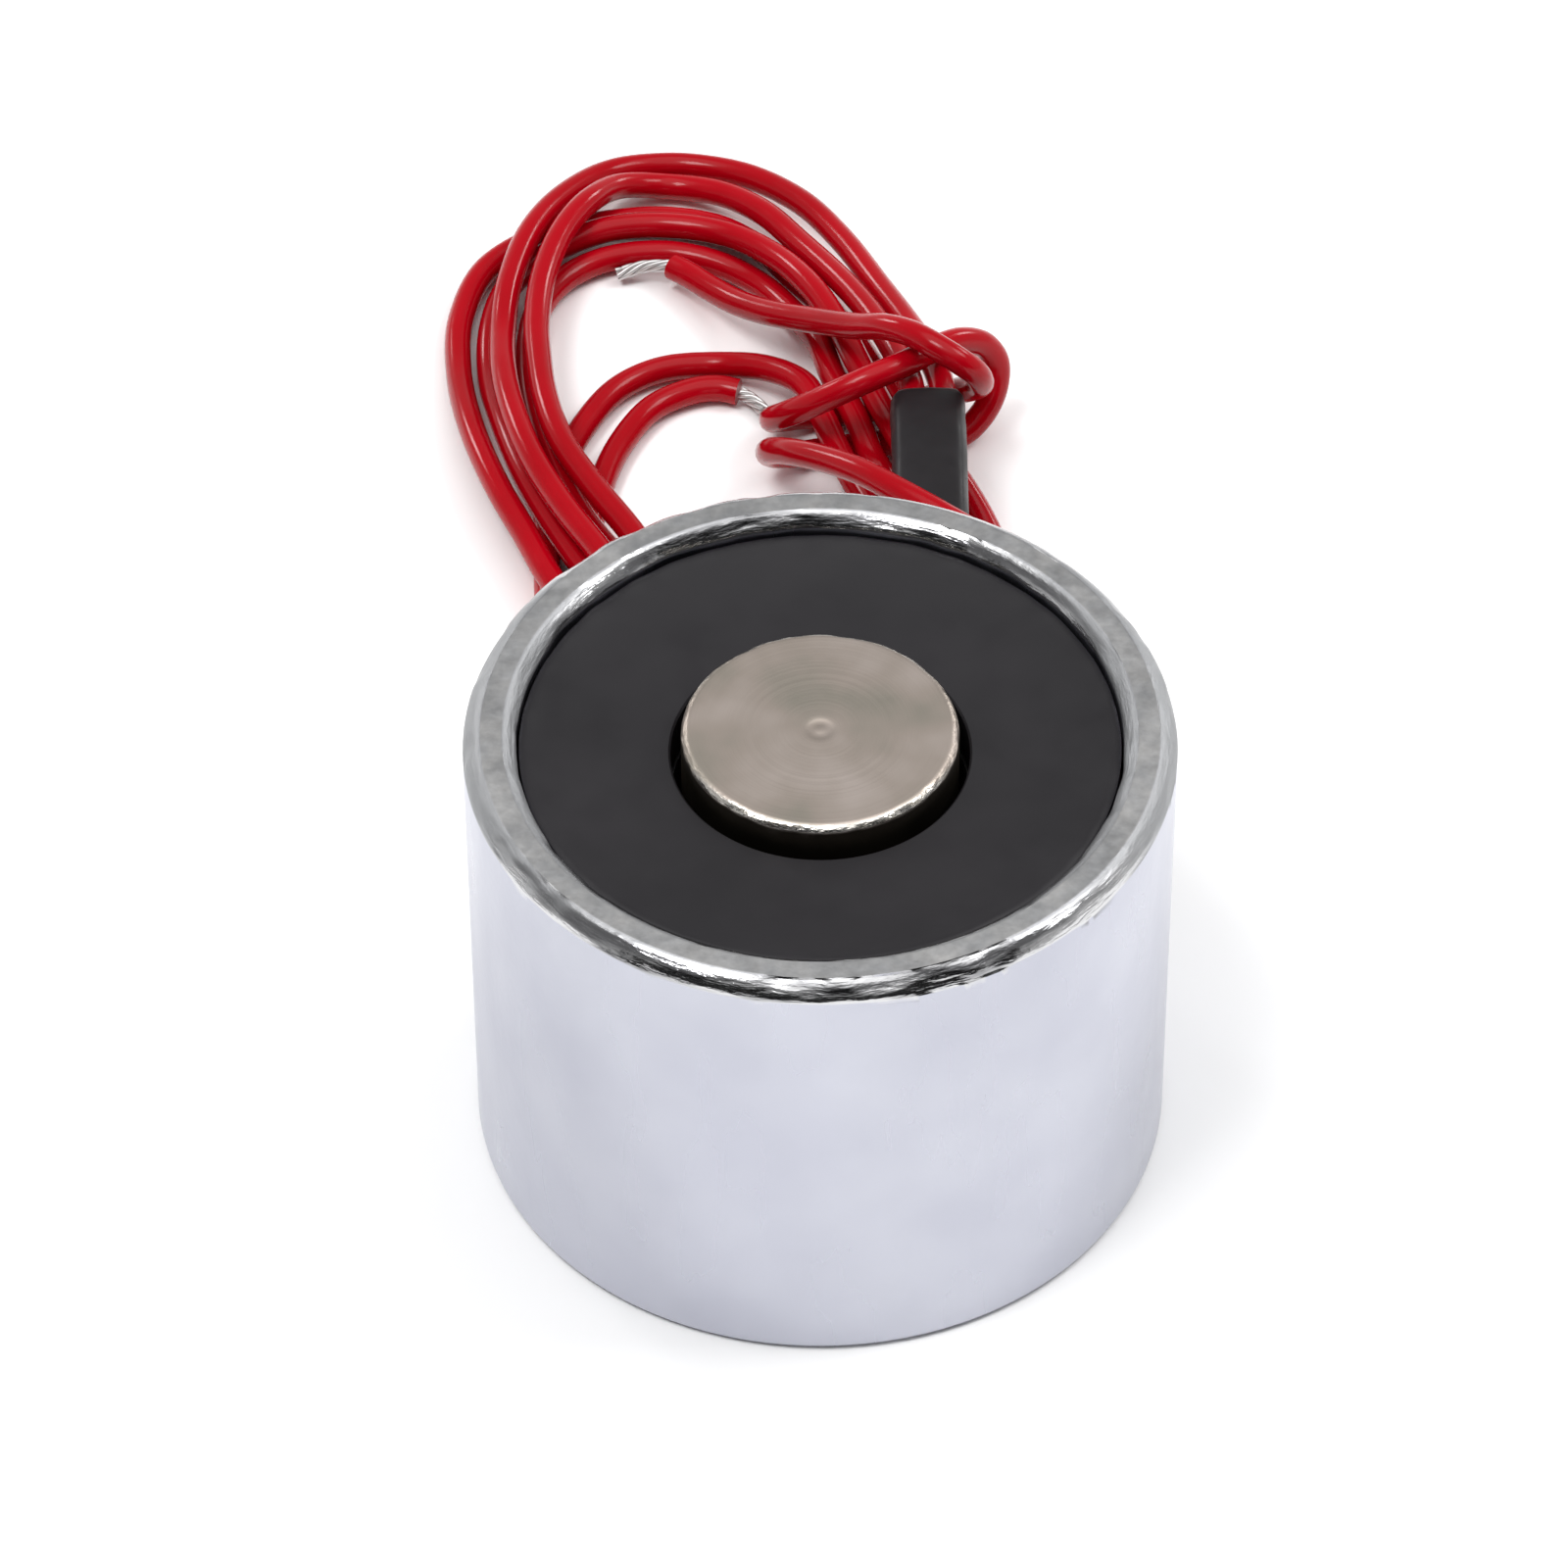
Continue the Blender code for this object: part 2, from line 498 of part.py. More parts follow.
def build_tail(name, lead_route, slot_angle, radius, finish):
    """One end of the winding wire, from its joint up through a slot of the flange."""
    lower, lower_top, upper_bottom, upper = flange_heights()
    near, far, way = joint_ends(lead_route)
    start = far + way * FACE_GAP
    slot = Vector((radius * cos(slot_angle), radius * sin(slot_angle), lower))
    bend = start.lerp(slot, 0.6)
    bend.xy = bend.xy.normalized() * (radius + TAIL_DIAMETER)
    route = [start, start + way * 2 * TAIL_DIAMETER, bend, slot, slot + Vector((0, 0, FLANGE))]
    curve = smooth_curve([stop / MM for stop in route], CURVE_STEPS)
    wire(name, read_points(curve), TAIL_DIAMETER, finish)


def close_solid(name, points, faces, finish):
    """A closed solid from points and faces, with its faces looking outwards."""
    made = mesh_object(name, points, [], faces)
    made.data.materials.append(finish)
    mesh = made.data
    volume = 0.0
    mesh.calc_loop_triangles()
    for triangle in mesh.loop_triangles:
        a, b, c = (mesh.vertices[index].co for index in triangle.vertices)
        volume += a.dot(b.cross(c))
    if volume < 0:
        mesh.flip_normals()
    mesh.shade_smooth()
    mesh.set_sharp_from_angle(angle=radians(40))
    return made


def build_sleeve(finish):
    """The flattened shrink sleeve over both leads."""
    placed = stations(read_points(smooth_curve(SLEEVE_ROUTE, CURVE_STEPS)))
    inner_width = LEAD_PITCH + LEAD_DIAMETER + 2 * WIRE_FIT
    inner_thickness = LEAD_DIAMETER + 2 * WIRE_FIT
    inner = stadium(inner_width, inner_thickness, 8)
    outer = stadium(inner_width + 2 * SLEEVE_WALL, inner_thickness + 2 * SLEEVE_WALL, 8)
    size = len(outer)
    count = len(placed)
    outer_rings = sweep_rings(placed, lambda share: outer)
    inner_rings = sweep_rings(placed, lambda share: inner)
    points = [point for ring in outer_rings + inner_rings for point in ring]
    faces = ring_walls(count, size, 0)
    shift = count * size
    for face in ring_walls(count, size, shift):
        faces.append(tuple(reversed(face)))
    for ring in (0, count - 1):
        for index in range(size):
            a = ring * size + index
            b = ring * size + (index + 1) % size
            face = (a, a + shift, b + shift, b)
            faces.append(face if ring == 0 else tuple(reversed(face)))
    close_solid("lead_sleeve", points, faces, finish)


def build_tinned_end(name, route, finish):
    """Bare tinned strands, twisted together: a lobed section that turns along the way."""
    points = smooth_curve(route, 4)
    lobes = TINNED_STRANDS - 1
    sides = 4 * lobes

    def section(share):
        """The lobed outline at one share of the way, drawn in a little at the tip."""
        reach = TINNED_DIAMETER / 2 * (1 - 0.35 * max(0.0, share - 0.85) / 0.15)
        outline = []
        for index in range(sides):
            angle = 2 * pi * index / sides
            radius = reach * (0.9 + 0.1 * cos(lobes * angle))
            turned_angle = angle + TINNED_TWIST * share
            outline.append((radius * cos(turned_angle), radius * sin(turned_angle)))
        return outline

    close_solid(name, *closed_sweep(sweep_rings(stations(points), section), sides), finish)


def build_leads(finish):
    """Both insulated leads along their routes."""
    for name, route in (("lead_a", LEAD_A_ROUTE), ("lead_b", LEAD_B_ROUTE)):
        points = read_points(smooth_curve(route, CURVE_STEPS))
        wire(name, points, LEAD_DIAMETER, finish)


def main():
    """Clear the scene and build every piece."""
    for old in list(bpy.data.objects):
        bpy.data.objects.remove(old)
    plated = material("bright_plated_steel", (0.72, 0.73, 0.78), 0.28, 1.0)
    nickel = material("satin_nickel_steel", (0.52, 0.48, 0.43), 0.42, 1.0)
    resin = material("black_resin", (0.04, 0.038, 0.042), 0.5, 0.0)
    nylon = material("black_nylon", (0.03, 0.03, 0.03), 0.55, 0.0)
    enamel = material("enamelled_copper", (0.55, 0.2, 0.06), 0.3, 1.0)
    tape = material("yellow_tape", (0.7, 0.45, 0.05), 0.3, 0.0)
    red = material("red_insulation", (0.45, 0.01, 0.015), 0.35, 0.0)
    shrink = material("black_shrink_sleeve", (0.02, 0.018, 0.02), 0.45, 0.0)
    tinned = material("tinned_strands", (0.6, 0.6, 0.6), 0.35, 1.0)
    solder = material("solder", (0.55, 0.55, 0.56), 0.3, 1.0)
    build_cup(plated)
    build_core(nickel)
    build_potting(resin)
    build_bobbin(nylon)
    build_winding(enamel, tape)
    middle = (WINDING_BORE + WINDING_RADIUS) / 2
    build_tail("start_tail", LEAD_A_ROUTE, START_SLOT_ANGLE, middle, enamel)
    build_tail("finish_tail", LEAD_B_ROUTE, FINISH_SLOT_ANGLE, middle, enamel)
    build_joint("joint_a", LEAD_A_ROUTE, solder)
    build_joint("joint_b", LEAD_B_ROUTE, solder)
    build_sleeve(shrink)
    build_leads(red)
    build_tinned_end("tinned_end_a", TINNED_A_ROUTE, tinned)
    build_tinned_end("tinned_end_b", TINNED_B_ROUTE, tinned)


main()
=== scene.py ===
"""Looks of the small holding electromagnet: plated pot, resin face, nickel core and red leads."""
import json
from math import cos, hypot, pi, radians, sin

import bpy
import numpy as np
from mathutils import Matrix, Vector, noise

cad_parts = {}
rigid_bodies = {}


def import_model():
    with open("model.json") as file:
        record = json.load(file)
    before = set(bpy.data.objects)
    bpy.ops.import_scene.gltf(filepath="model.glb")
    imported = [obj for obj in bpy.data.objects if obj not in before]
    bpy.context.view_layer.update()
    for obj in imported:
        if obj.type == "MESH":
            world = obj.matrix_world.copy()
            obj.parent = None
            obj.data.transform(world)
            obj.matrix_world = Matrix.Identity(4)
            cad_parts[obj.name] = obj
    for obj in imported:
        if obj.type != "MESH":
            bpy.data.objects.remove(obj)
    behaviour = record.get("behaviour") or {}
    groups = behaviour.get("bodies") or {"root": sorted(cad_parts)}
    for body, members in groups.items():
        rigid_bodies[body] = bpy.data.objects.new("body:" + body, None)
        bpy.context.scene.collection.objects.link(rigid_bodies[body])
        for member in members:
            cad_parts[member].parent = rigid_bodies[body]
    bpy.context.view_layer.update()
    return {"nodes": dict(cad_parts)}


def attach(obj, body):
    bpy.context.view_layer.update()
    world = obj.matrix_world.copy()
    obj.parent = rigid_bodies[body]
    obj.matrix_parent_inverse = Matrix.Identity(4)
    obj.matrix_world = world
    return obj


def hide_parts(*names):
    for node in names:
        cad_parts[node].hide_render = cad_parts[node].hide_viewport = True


MM = 0.001
BODY = "root"

# Camera, fitted to the photograph: it looks at the middle of the pot
CAMERA_ELEVATION = radians(46.574)
CAMERA_DISTANCE = 229.85 * MM
CAMERA_AIM = Vector((0, 0, 7.5 * MM))
LENS = 184.5
SHIFT = (-0.0231, 0.0827)

# Lamps: name, place in metres, width in metres, power in watts
LIGHTS = (
    ("key", (-0.3, -0.2, 0.85), 0.3, 3.4),
    ("fill", (0.5, 0.1, 0.65), 0.3, 2.0),
    ("glint_left", (-0.62, 0.69, 0.38), 0.18, 1.2),
    ("glint_right", (0.62, 0.69, 0.38), 0.18, 1.2),
)
LIGHT_AIM = (0, 0, 0.008)

# Room: grey levels by the height of the direction, and a dark patch in front, below the lamps
ROOM_LEVELS = ((0.0, 0.65), (0.3, 0.52), (0.6, 0.31), (0.8, 0.36), (0.88, 1.6))
PATCH_LEVEL = 0.02
PATCH_TO_THE_FRONT = (-0.42, -0.56)
PATCH_TOP = (0.66, 0.58)
FLOOR_HALF_WIDTH = 3.0

# Sizes shared with the solids
CUP_RADIUS = 10.0 * MM
CUP_HEIGHT = 15.0 * MM
BORE_RADIUS = 8.5 * MM
CUP_FLOOR = 2.4 * MM
CORE_BORE = 3.15 * MM
RIM_CHAMFER = 0.5 * MM
MOUTH_CHAMFER = 0.4 * MM
BASE_CHAMFER = 0.3 * MM
LEAD_HOLE_RADIUS = 1.45 * MM
LEAD_HOLE_HEIGHT = 3.9 * MM
POLE_RADIUS = 3.9 * MM
RESIN_LEVEL = 14.15 * MM
RESIN_CLIMB = 0.35 * MM
RESIN_CORE_GAP = 0.3 * MM
LEAD_DIAMETER = 0.85 * MM
LEAD_PITCH = 0.96 * MM
HOLE_Z = LEAD_HOLE_HEIGHT / MM

# Spigot of the core, and the threaded hole in its back
SPIGOT_RADIUS = 3.12 * MM
SPIGOT_HEIGHT = 2.43 * MM
COUNTERSINK_RADIUS = 1.7 * MM
THREAD_CREST = 1.25 * MM
THREAD_ROOT = 1.45 * MM
THREAD_START = 0.45 * MM
THREAD_PITCH = 0.5 * MM
THREAD_TURNS = 11
HOLE_DEPTH = 6.0 * MM
HOLE_TIP = 6.7 * MM

# Turning mark in the core's face: radius and depth in millimetres
TURNING_MARK = ((0.16, 0.022), (0.25, 0.035), (0.37, 0.012), (0.46, 0.0), (0.55, 0.0))

# Uneven edges: the seed of their noise, its size, and its waves per metre of height
RIM_SEED, RIM_UNEVEN = 3.0, 0.11 * MM
MOUTH_SEED, MOUTH_UNEVEN = 7.0, 0.09 * MM
POLE_SEED, POLE_UNEVEN = 11.0, 0.06 * MM
POT_HEIGHT_WAVES = 1500
POLE_HEIGHT_WAVES = 3000

# Steps of the turned and drawn shapes
POT_STEPS = 384
POLE_STEPS = 256
RESIN_STEPS = 320
DRILL_STEPS = 64
CHAMFER_STEPS = 12
CHAMFER_FLATNESS = 0.16
ROUTE_STEPS = 8
ON_AXIS = 0.00001 * MM
STREAK_RADIUS = 9.0 * MM

# Routes in millimetres, x to the right, y to the back, z up
SLEEVE_ROUTE = (
    (3.12, 8.7, HOLE_Z), (3.17, 9.5, HOLE_Z), (3.23, 11.0, HOLE_Z), (3.33, 14.5, 3.85),
    (3.38, 19.0, 3.75), (3.38, 22.6, 3.66), (3.36, 24.5, 3.59), (3.33, 26.0, 3.42),
)
LEAD_A_ROUTE = (
    # inside the pot
    (-2.3, 5.9, HOLE_Z), (-0.8, 5.95, HOLE_Z), (0.6, 6.05, HOLE_Z), (1.85, 6.65, HOLE_Z),
    # through the sleeve
    (2.56, 8.0, HOLE_Z), (2.69, 9.5, HOLE_Z), (2.75, 11.0, HOLE_Z), (2.85, 14.5, 3.85),
    (2.9, 19.0, 3.75), (2.9, 23.0, 3.65), (2.87, 25.0, 3.55), (2.85, 26.6, 3.3),
    # round the large loop
    (2.55, 28.2, 2.85), (1.85, 30.4, 2.5), (0.85, 32.7, 2.05), (-0.6, 35.35, 1.45),
    (-1.9, 37.3, 1.15), (-3.3, 38.6, 0.8), (-5.0, 39.15, 0.6), (-6.5, 38.6, 1.1),
    (-7.5, 37.1, 1.75), (-8.3, 35.4, 1.95), (-8.85, 33.2, 2.0), (-9.0, 31.0, 2.05),
    (-8.9, 29.3, 2.15), (-8.65, 27.3, 2.3), (-8.1, 25.2, 2.4), (-7.1, 23.2, 2.4), (-5.8, 21.0, 2.4),
    (-4.9, 19.1, 2.4), (-4.1, 17.0, 2.4), (-2.7, 14.9, 1.9), (-0.9, 13.7, 1.0), (1.0, 13.4, 0.5),
    (3.0, 13.9, 0.5), (4.4, 15.2, 0.5), (5.1, 17.3, 0.5), (5.1, 19.6, 0.5), (4.7, 21.6, 0.5),
    (4.0, 23.3, 0.8),
    # under the sleeve, and the middle strand of the second loop
    (3.0, 25.1, 1.3), (2.0, 27.0, 1.95), (1.2, 29.0, 2.15), (0.55, 30.9, 2.1), (-0.35, 32.9, 1.95),
    (-1.5, 34.8, 1.5), (-3.0, 36.2, 1.15), (-5.0, 36.8, 1.0), (-7.0, 36.6, 0.97),
    (-8.8, 35.75, 0.7), (-10.0, 34.4, 0.5), (-10.5, 32.5, 0.5), (-10.5, 30.2, 0.5),
    (-10.0, 27.4, 1.1), (-9.2, 24.6, 1.4), (-8.2, 22.3, 1.4), (-7.1, 20.2, 1.4), (-5.8, 18.4, 1.4),
    (-4.2, 16.8, 1.48), (-3.1, 16.25, 1.2), (-2.1, 15.85, 0.75), (-0.1, 15.7, 0.5),
    (1.5, 16.1, 0.5), (2.7, 17.2, 0.5), (3.1, 19.1, 0.5), (2.8, 21.2, 0.5), (1.85, 23.3, 0.6),
    # the small loop
    (0.75, 25.2, 1.4), (0.1, 27.1, 1.5), (-0.5, 28.7, 1.48), (-1.7, 30.0, 1.0), (-3.2, 30.7, 0.5),
    (-5.0, 30.5, 0.5), (-6.4, 29.6, 0.5), (-7.4, 28.0, 0.5), (-8.1, 26.2, 0.45), (-8.5, 24.2, 0.45),
    (-8.5, 22.0, 0.45), (-8.4, 19.4, 0.5), (-8.2, 17.0, 0.5), (-7.5, 14.8, 0.5), (-6.2, 13.2, 0.5),
    (-4.1, 12.1, 0.5), (-1.4, 11.5, 0.5), (1.6, 11.4, 0.5), (4.4, 12.0, 0.5), (6.4, 13.8, 0.5),
    # the first wrap, over the sleeve and back under the bundle
    (7.1, 15.4, 1.3), (6.7, 16.7, 2.8), (5.7, 17.6, 4.2), (4.7, 18.35, 4.85), (3.7, 19.15, 4.95),
    (2.4, 20.25, 4.9), (1.3, 21.4, 4.6), (0.2, 22.6, 4.0), (-0.9, 23.8, 3.2), (-1.55, 24.8, 2.3),
    (-1.5, 25.7, 1.3), (-0.7, 26.45, 0.6), (0.5, 26.8, 0.5), (1.9, 27.05, 0.5), (3.3, 27.2, 0.5),
    # the second wrap
    (4.4, 27.4, 0.55), (5.1, 27.9, 0.95), (5.5, 28.4, 1.6), (5.55, 28.75, 2.4), (5.15, 28.75, 3.15),
    (4.4, 28.3, 3.75), (3.5, 27.5, 4.1), (2.6, 26.7, 4.22), (1.7, 26.15, 4.22), (0.7, 25.9, 3.85),
    (-0.3, 26.0, 3.15), (-1.1, 26.45, 2.3), (-1.5, 27.1, 1.5), (-1.35, 27.8, 0.85),
    (-0.6, 28.25, 0.55), (0.6, 28.45, 0.5), (2.0, 28.75, 0.5),
    # the free end, once more over the bundle
    (3.3, 28.75, 0.8), (4.15, 28.35, 1.5), (4.65, 27.7, 2.25), (4.95, 27.05, 3.0),
    (5.0, 26.45, 3.75), (4.8, 26.1, 4.45), (4.3, 26.05, 4.97), (3.6, 26.4, 5.24), (2.9, 27.0, 5.2),
    (2.1, 27.75, 4.82), (1.1, 28.75, 3.95), (-0.5, 30.45, 2.7), (-1.7, 31.65, 1.9),
    (-2.7, 32.8, 1.3), (-3.6, 33.9, 0.95), (-4.2, 34.6, 0.82), (-4.75, 35.05, 0.78),
)
TINNED_A_ROUTE = ((-4.85, 35.11, 0.77), (-5.7, 35.25, 0.6), (-6.55, 35.1, 0.4))
LEAD_B_ROUTE = (
    # inside the pot
    (6.0, 2.6, HOLE_Z), (5.6, 4.1, HOLE_Z), (4.95, 5.5, HOLE_Z), (4.15, 6.7, HOLE_Z),
    # through the sleeve
    (3.62, 8.0, HOLE_Z), (3.65, 9.5, HOLE_Z), (3.71, 11.0, HOLE_Z), (3.81, 14.5, 3.85),
    (3.86, 19.0, 3.75), (3.86, 23.0, 3.65), (3.83, 25.0, 3.55), (3.81, 26.6, 3.3),
    # round the large loop
    (3.45, 28.5, 2.9), (2.75, 30.6, 2.4), (1.85, 32.9, 1.9), (0.7, 35.6, 1.45), (-0.6, 37.8, 1.1),
    (-2.2, 39.4, 0.75), (-3.6, 40.1, 0.55), (-5.0, 40.3, 0.5), (-6.8, 39.7, 0.75),
    (-8.3, 38.0, 1.2), (-9.3, 36.0, 1.5), (-9.95, 33.3, 1.6), (-10.1, 31.0, 1.6),
    (-10.0, 28.9, 1.95), (-9.7, 27.0, 2.2), (-9.0, 24.5, 2.4), (-8.0, 22.3, 2.4), (-6.8, 20.2, 2.4),
    (-5.9, 18.5, 2.4), (-4.9, 16.4, 2.4), (-3.4, 14.3, 1.9), (-1.5, 12.8, 1.0), (0.9, 12.4, 0.5),
    (3.3, 12.9, 0.5), (5.1, 14.4, 0.5), (6.05, 16.9, 0.5), (6.1, 19.5, 0.5), (5.6, 21.8, 0.5),
    (4.9, 23.7, 0.8),
    # under the sleeve, and the outer strand of the second loop
    (3.8, 25.6, 1.3), (2.6, 27.5, 1.45), (1.7, 29.5, 1.4), (0.9, 31.3, 1.3), (0.05, 33.0, 1.08),
    (-1.0, 34.8, 0.7), (-2.0, 36.3, 0.5), (-3.3, 37.25, 0.5), (-5.0, 37.65, 0.5),
    (-6.8, 37.55, 0.45), (-9.0, 36.85, 0.45), (-10.75, 35.25, 0.5), (-11.5, 32.9, 0.5),
    (-11.5, 30.3, 0.6), (-11.0, 27.2, 1.1), (-10.1, 24.2, 1.4), (-9.2, 22.1, 1.4),
    (-8.1, 19.6, 1.4), (-6.7, 17.6, 1.4), (-4.8, 16.0, 1.48), (-3.5, 15.35, 1.15),
    (-2.2, 14.85, 0.75), (-0.2, 14.7, 0.5), (2.0, 15.2, 0.5), (3.6, 16.7, 0.5), (4.1, 19.0, 0.5),
    (3.75, 21.5, 0.5), (2.8, 23.5, 0.7),
    # the inner strand of the second loop
    (1.7, 25.4, 1.3), (1.1, 27.3, 1.45), (0.4, 29.2, 1.4), (-0.1, 31.0, 1.3), (-0.95, 32.85, 0.87),
    (-2.05, 34.6, 0.5), (-3.4, 35.55, 0.5), (-5.0, 36.0, 0.5), (-6.8, 35.75, 0.5),
    (-8.2, 34.8, 0.5), (-9.1, 33.1, 0.5), (-9.3, 31.0, 0.5), (-9.0, 28.2, 1.15), (-8.4, 25.5, 1.45),
    (-7.4, 22.7, 1.45), (-6.0, 20.6, 1.2), (-4.85, 19.3, 0.6),
    # a turn behind the pot, and back along the small loop
    (-4.35, 18.2, 0.5), (-4.35, 17.1, 0.5), (-4.85, 16.1, 0.5), (-5.8, 15.65, 0.5),
    (-6.7, 16.0, 0.5), (-7.2, 17.0, 0.5), (-7.4, 18.3, 0.5), (-7.45, 20.0, 0.45),
    (-7.3, 22.3, 0.45), (-6.9, 25.0, 0.5), (-6.3, 27.0, 0.5), (-5.3, 28.7, 0.5), (-4.0, 29.5, 0.5),
    (-3.2, 29.6, 0.5), (-2.6, 29.45, 0.48),
)
TINNED_B_ROUTE = ((-2.5, 29.4, 0.47), (-2.1, 29.1, 0.42), (-1.65, 28.5, 0.38))
LEAD_EXIT = SLEEVE_ROUTE[1]


# Small helpers

def mesh_piece(name, points, faces, finish, smooth_angle):
    """A new mesh piece that rides on the pot."""
    mesh = bpy.data.meshes.new(name)
    mesh.from_pydata([tuple(point) for point in points], [], faces)
    mesh.validate()
    piece = bpy.data.objects.new(name, mesh)
    bpy.context.collection.objects.link(piece)
    mesh.materials.append(finish)
    mesh.shade_smooth()
    mesh.set_sharp_from_angle(angle=radians(smooth_angle))
    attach(piece, BODY)
    return piece


def smooth_curve(route, steps):
    """Points of one smooth curve through a route in millimetres (centripetal Catmull-Rom)."""
    stops = np.array(route, float) * MM
    first = 2 * stops[0] - stops[1]
    last = 2 * stops[-1] - stops[-2]
    stops = np.vstack([first, stops, last])
    points = []
    for p0, p1, p2, p3 in zip(stops, stops[1:], stops[2:], stops[3:]):
        knots = [0.0]
        for start, end in ((p0, p1), (p1, p2), (p2, p3)):
            knots.append(knots[-1] + np.linalg.norm(end - start) ** 0.5)
        t0, t1, t2, t3 = knots
        for step in range(steps):
            t = t1 + (t2 - t1) * step / steps
            a1 = (t1 - t) / (t1 - t0) * p0 + (t - t0) / (t1 - t0) * p1
            a2 = (t2 - t) / (t2 - t1) * p1 + (t - t1) / (t2 - t1) * p2
            a3 = (t3 - t) / (t3 - t2) * p2 + (t - t2) / (t3 - t2) * p3
            b1 = (t2 - t) / (t2 - t0) * a1 + (t - t0) / (t2 - t0) * a2
            b2 = (t3 - t) / (t3 - t1) * a2 + (t - t1) / (t3 - t1) * a3
            points.append(Vector((t2 - t) / (t2 - t1) * b1 + (t - t1) / (t2 - t1) * b2))
    points.append(Vector(stops[-2]))
    return points


def stations(points):
    """Each point with the side and up directions of a section across the path."""
    placed = []
    for index, point in enumerate(points):
        ahead = points[min(index + 1, len(points) - 1)] - points[max(index - 1, 0)]
        side = ahead.cross(Vector((0, 0, 1))).normalized()
        up = side.cross(ahead).normalized()
        placed.append((point, side, up))
    return placed


def ring_walls(ring_count, size, first):
    """Quads between rings of points that are numbered from first."""
    faces = []
    for ring in range(ring_count - 1):
        for index in range(size):
            a = first + ring * size + index
            b = first + ring * size + (index + 1) % size
            faces.append((a, b, b + size, a + size))
    return faces


def turned(profile, steps, wobble=None):
    """Points and faces of a turned ring; wobble(radius, height, angle) moves a point."""
    points = []
    for radius, height in profile:
        for index in range(steps):
            angle = 2 * pi * index / steps
            r, z = wobble(radius, height, angle) if wobble else (radius, height)
            points.append((r * cos(angle), r * sin(angle), z))
    return points, ring_walls(len(profile), steps, 0)


def arc(centre, radius, start, end, steps):
    """Points of an arc in a profile, angles in degrees from +radius towards +height."""
    made = []
    for step in range(steps + 1):
        angle = radians(start + (end - start) * step / steps)
        made.append((centre[0] + radius * cos(angle), centre[1] + radius * sin(angle)))
    return made


def soft_chamfer(size):
    """Offsets of a chamfer that is a little rounded, from (0, size) to (size, 0)."""
    made = []
    for step in range(CHAMFER_STEPS + 1):
        turn = radians(90 * step / CHAMFER_STEPS)
        reach = size * (1 - CHAMFER_FLATNESS * sin(2 * turn))
        made.append((reach * sin(turn), reach * cos(turn)))
    return made


# Material nodes; made is the material or the world that they belong to

def shader_of(made):
    """The Principled node of a material."""
    return made.node_tree.nodes["Principled BSDF"]


def new_material(name, roughness, metallic, specular=0.5):
    """A Principled material with its plain numbers set on the shader."""
    made = bpy.data.materials.new(name)
    made.use_nodes = True
    shader = shader_of(made)
    shader.inputs["Roughness"].default_value = roughness
    shader.inputs["Metallic"].default_value = metallic
    shader.inputs["Specular IOR Level"].default_value = specular
    return made


def node(made, kind, **values):
    """A new node, with inputs or settings by name."""
    new = made.node_tree.nodes.new(kind)
    for key, value in values.items():
        if key in new.inputs:
            new.inputs[key].default_value = value
        else:
            setattr(new, key, value)
    return new


def link(made, source, target):
    """Join two sockets."""
    made.node_tree.links.new(source, target)


def ramp(made, source, stops):
    """A colour ramp of (place, colour) stops on a factor."""
    new = node(made, "ShaderNodeValToRGB")
    band = new.color_ramp
    while len(band.elements) < len(stops):
        band.elements.new(0.5)
    for element, (place, colour) in zip(band.elements, stops):
        element.position = place
        element.color = (*colour, 1.0)
    link(made, source, new.inputs["Fac"])
    return new.outputs["Color"]


def grey(level):
    """A grey colour."""
    return (level, level, level)


def noise_node(made, scale, detail=3.0, stretch=(1, 1, 1)):
    """Noise in object space; scale is in waves per metre."""
    place = node(made, "ShaderNodeTexCoord")
    stretched = node(made, "ShaderNodeMapping")
    stretched.inputs["Scale"].default_value = stretch
    new = node(made, "ShaderNodeTexNoise", Scale=scale, Detail=detail)
    link(made, place.outputs["Object"], stretched.inputs["Vector"])
    link(made, stretched.outputs["Vector"], new.inputs["Vector"])
    return new.outputs["Fac"]


def mottled(made, scale, detail, low, high, stops=(0.3, 0.7)):
    """Patches of noise between two colours."""
    return ramp(made, noise_node(made, scale, detail), list(zip(stops, (low, high))))


def streaks(made, along, across, detail=2.0):
    """Noise stretched round the pot's axis: waves per metre along the turn and across it."""
    place = node(made, "ShaderNodeTexCoord")
    flat = node(made, "ShaderNodeVectorMath", operation="MULTIPLY")
    flat.inputs[1].default_value = (1, 1, 0)
    way = node(made, "ShaderNodeVectorMath", operation="NORMALIZE")
    spread = node(made, "ShaderNodeVectorMath", operation="SCALE", Scale=STREAK_RADIUS * along)
    height = node(made, "ShaderNodeVectorMath", operation="MULTIPLY")
    height.inputs[1].default_value = (0, 0, across)
    joined = node(made, "ShaderNodeVectorMath", operation="ADD")
    new = node(made, "ShaderNodeTexNoise", Scale=1.0, Detail=detail)
    link(made, place.outputs["Object"], flat.inputs[0])
    link(made, flat.outputs["Vector"], way.inputs[0])
    link(made, way.outputs["Vector"], spread.inputs[0])
    link(made, place.outputs["Object"], height.inputs[0])
    link(made, spread.outputs["Vector"], joined.inputs[0])
    link(made, height.outputs["Vector"], joined.inputs[1])
    link(made, joined.outputs["Vector"], new.inputs["Vector"])
    return new.outputs["Fac"]


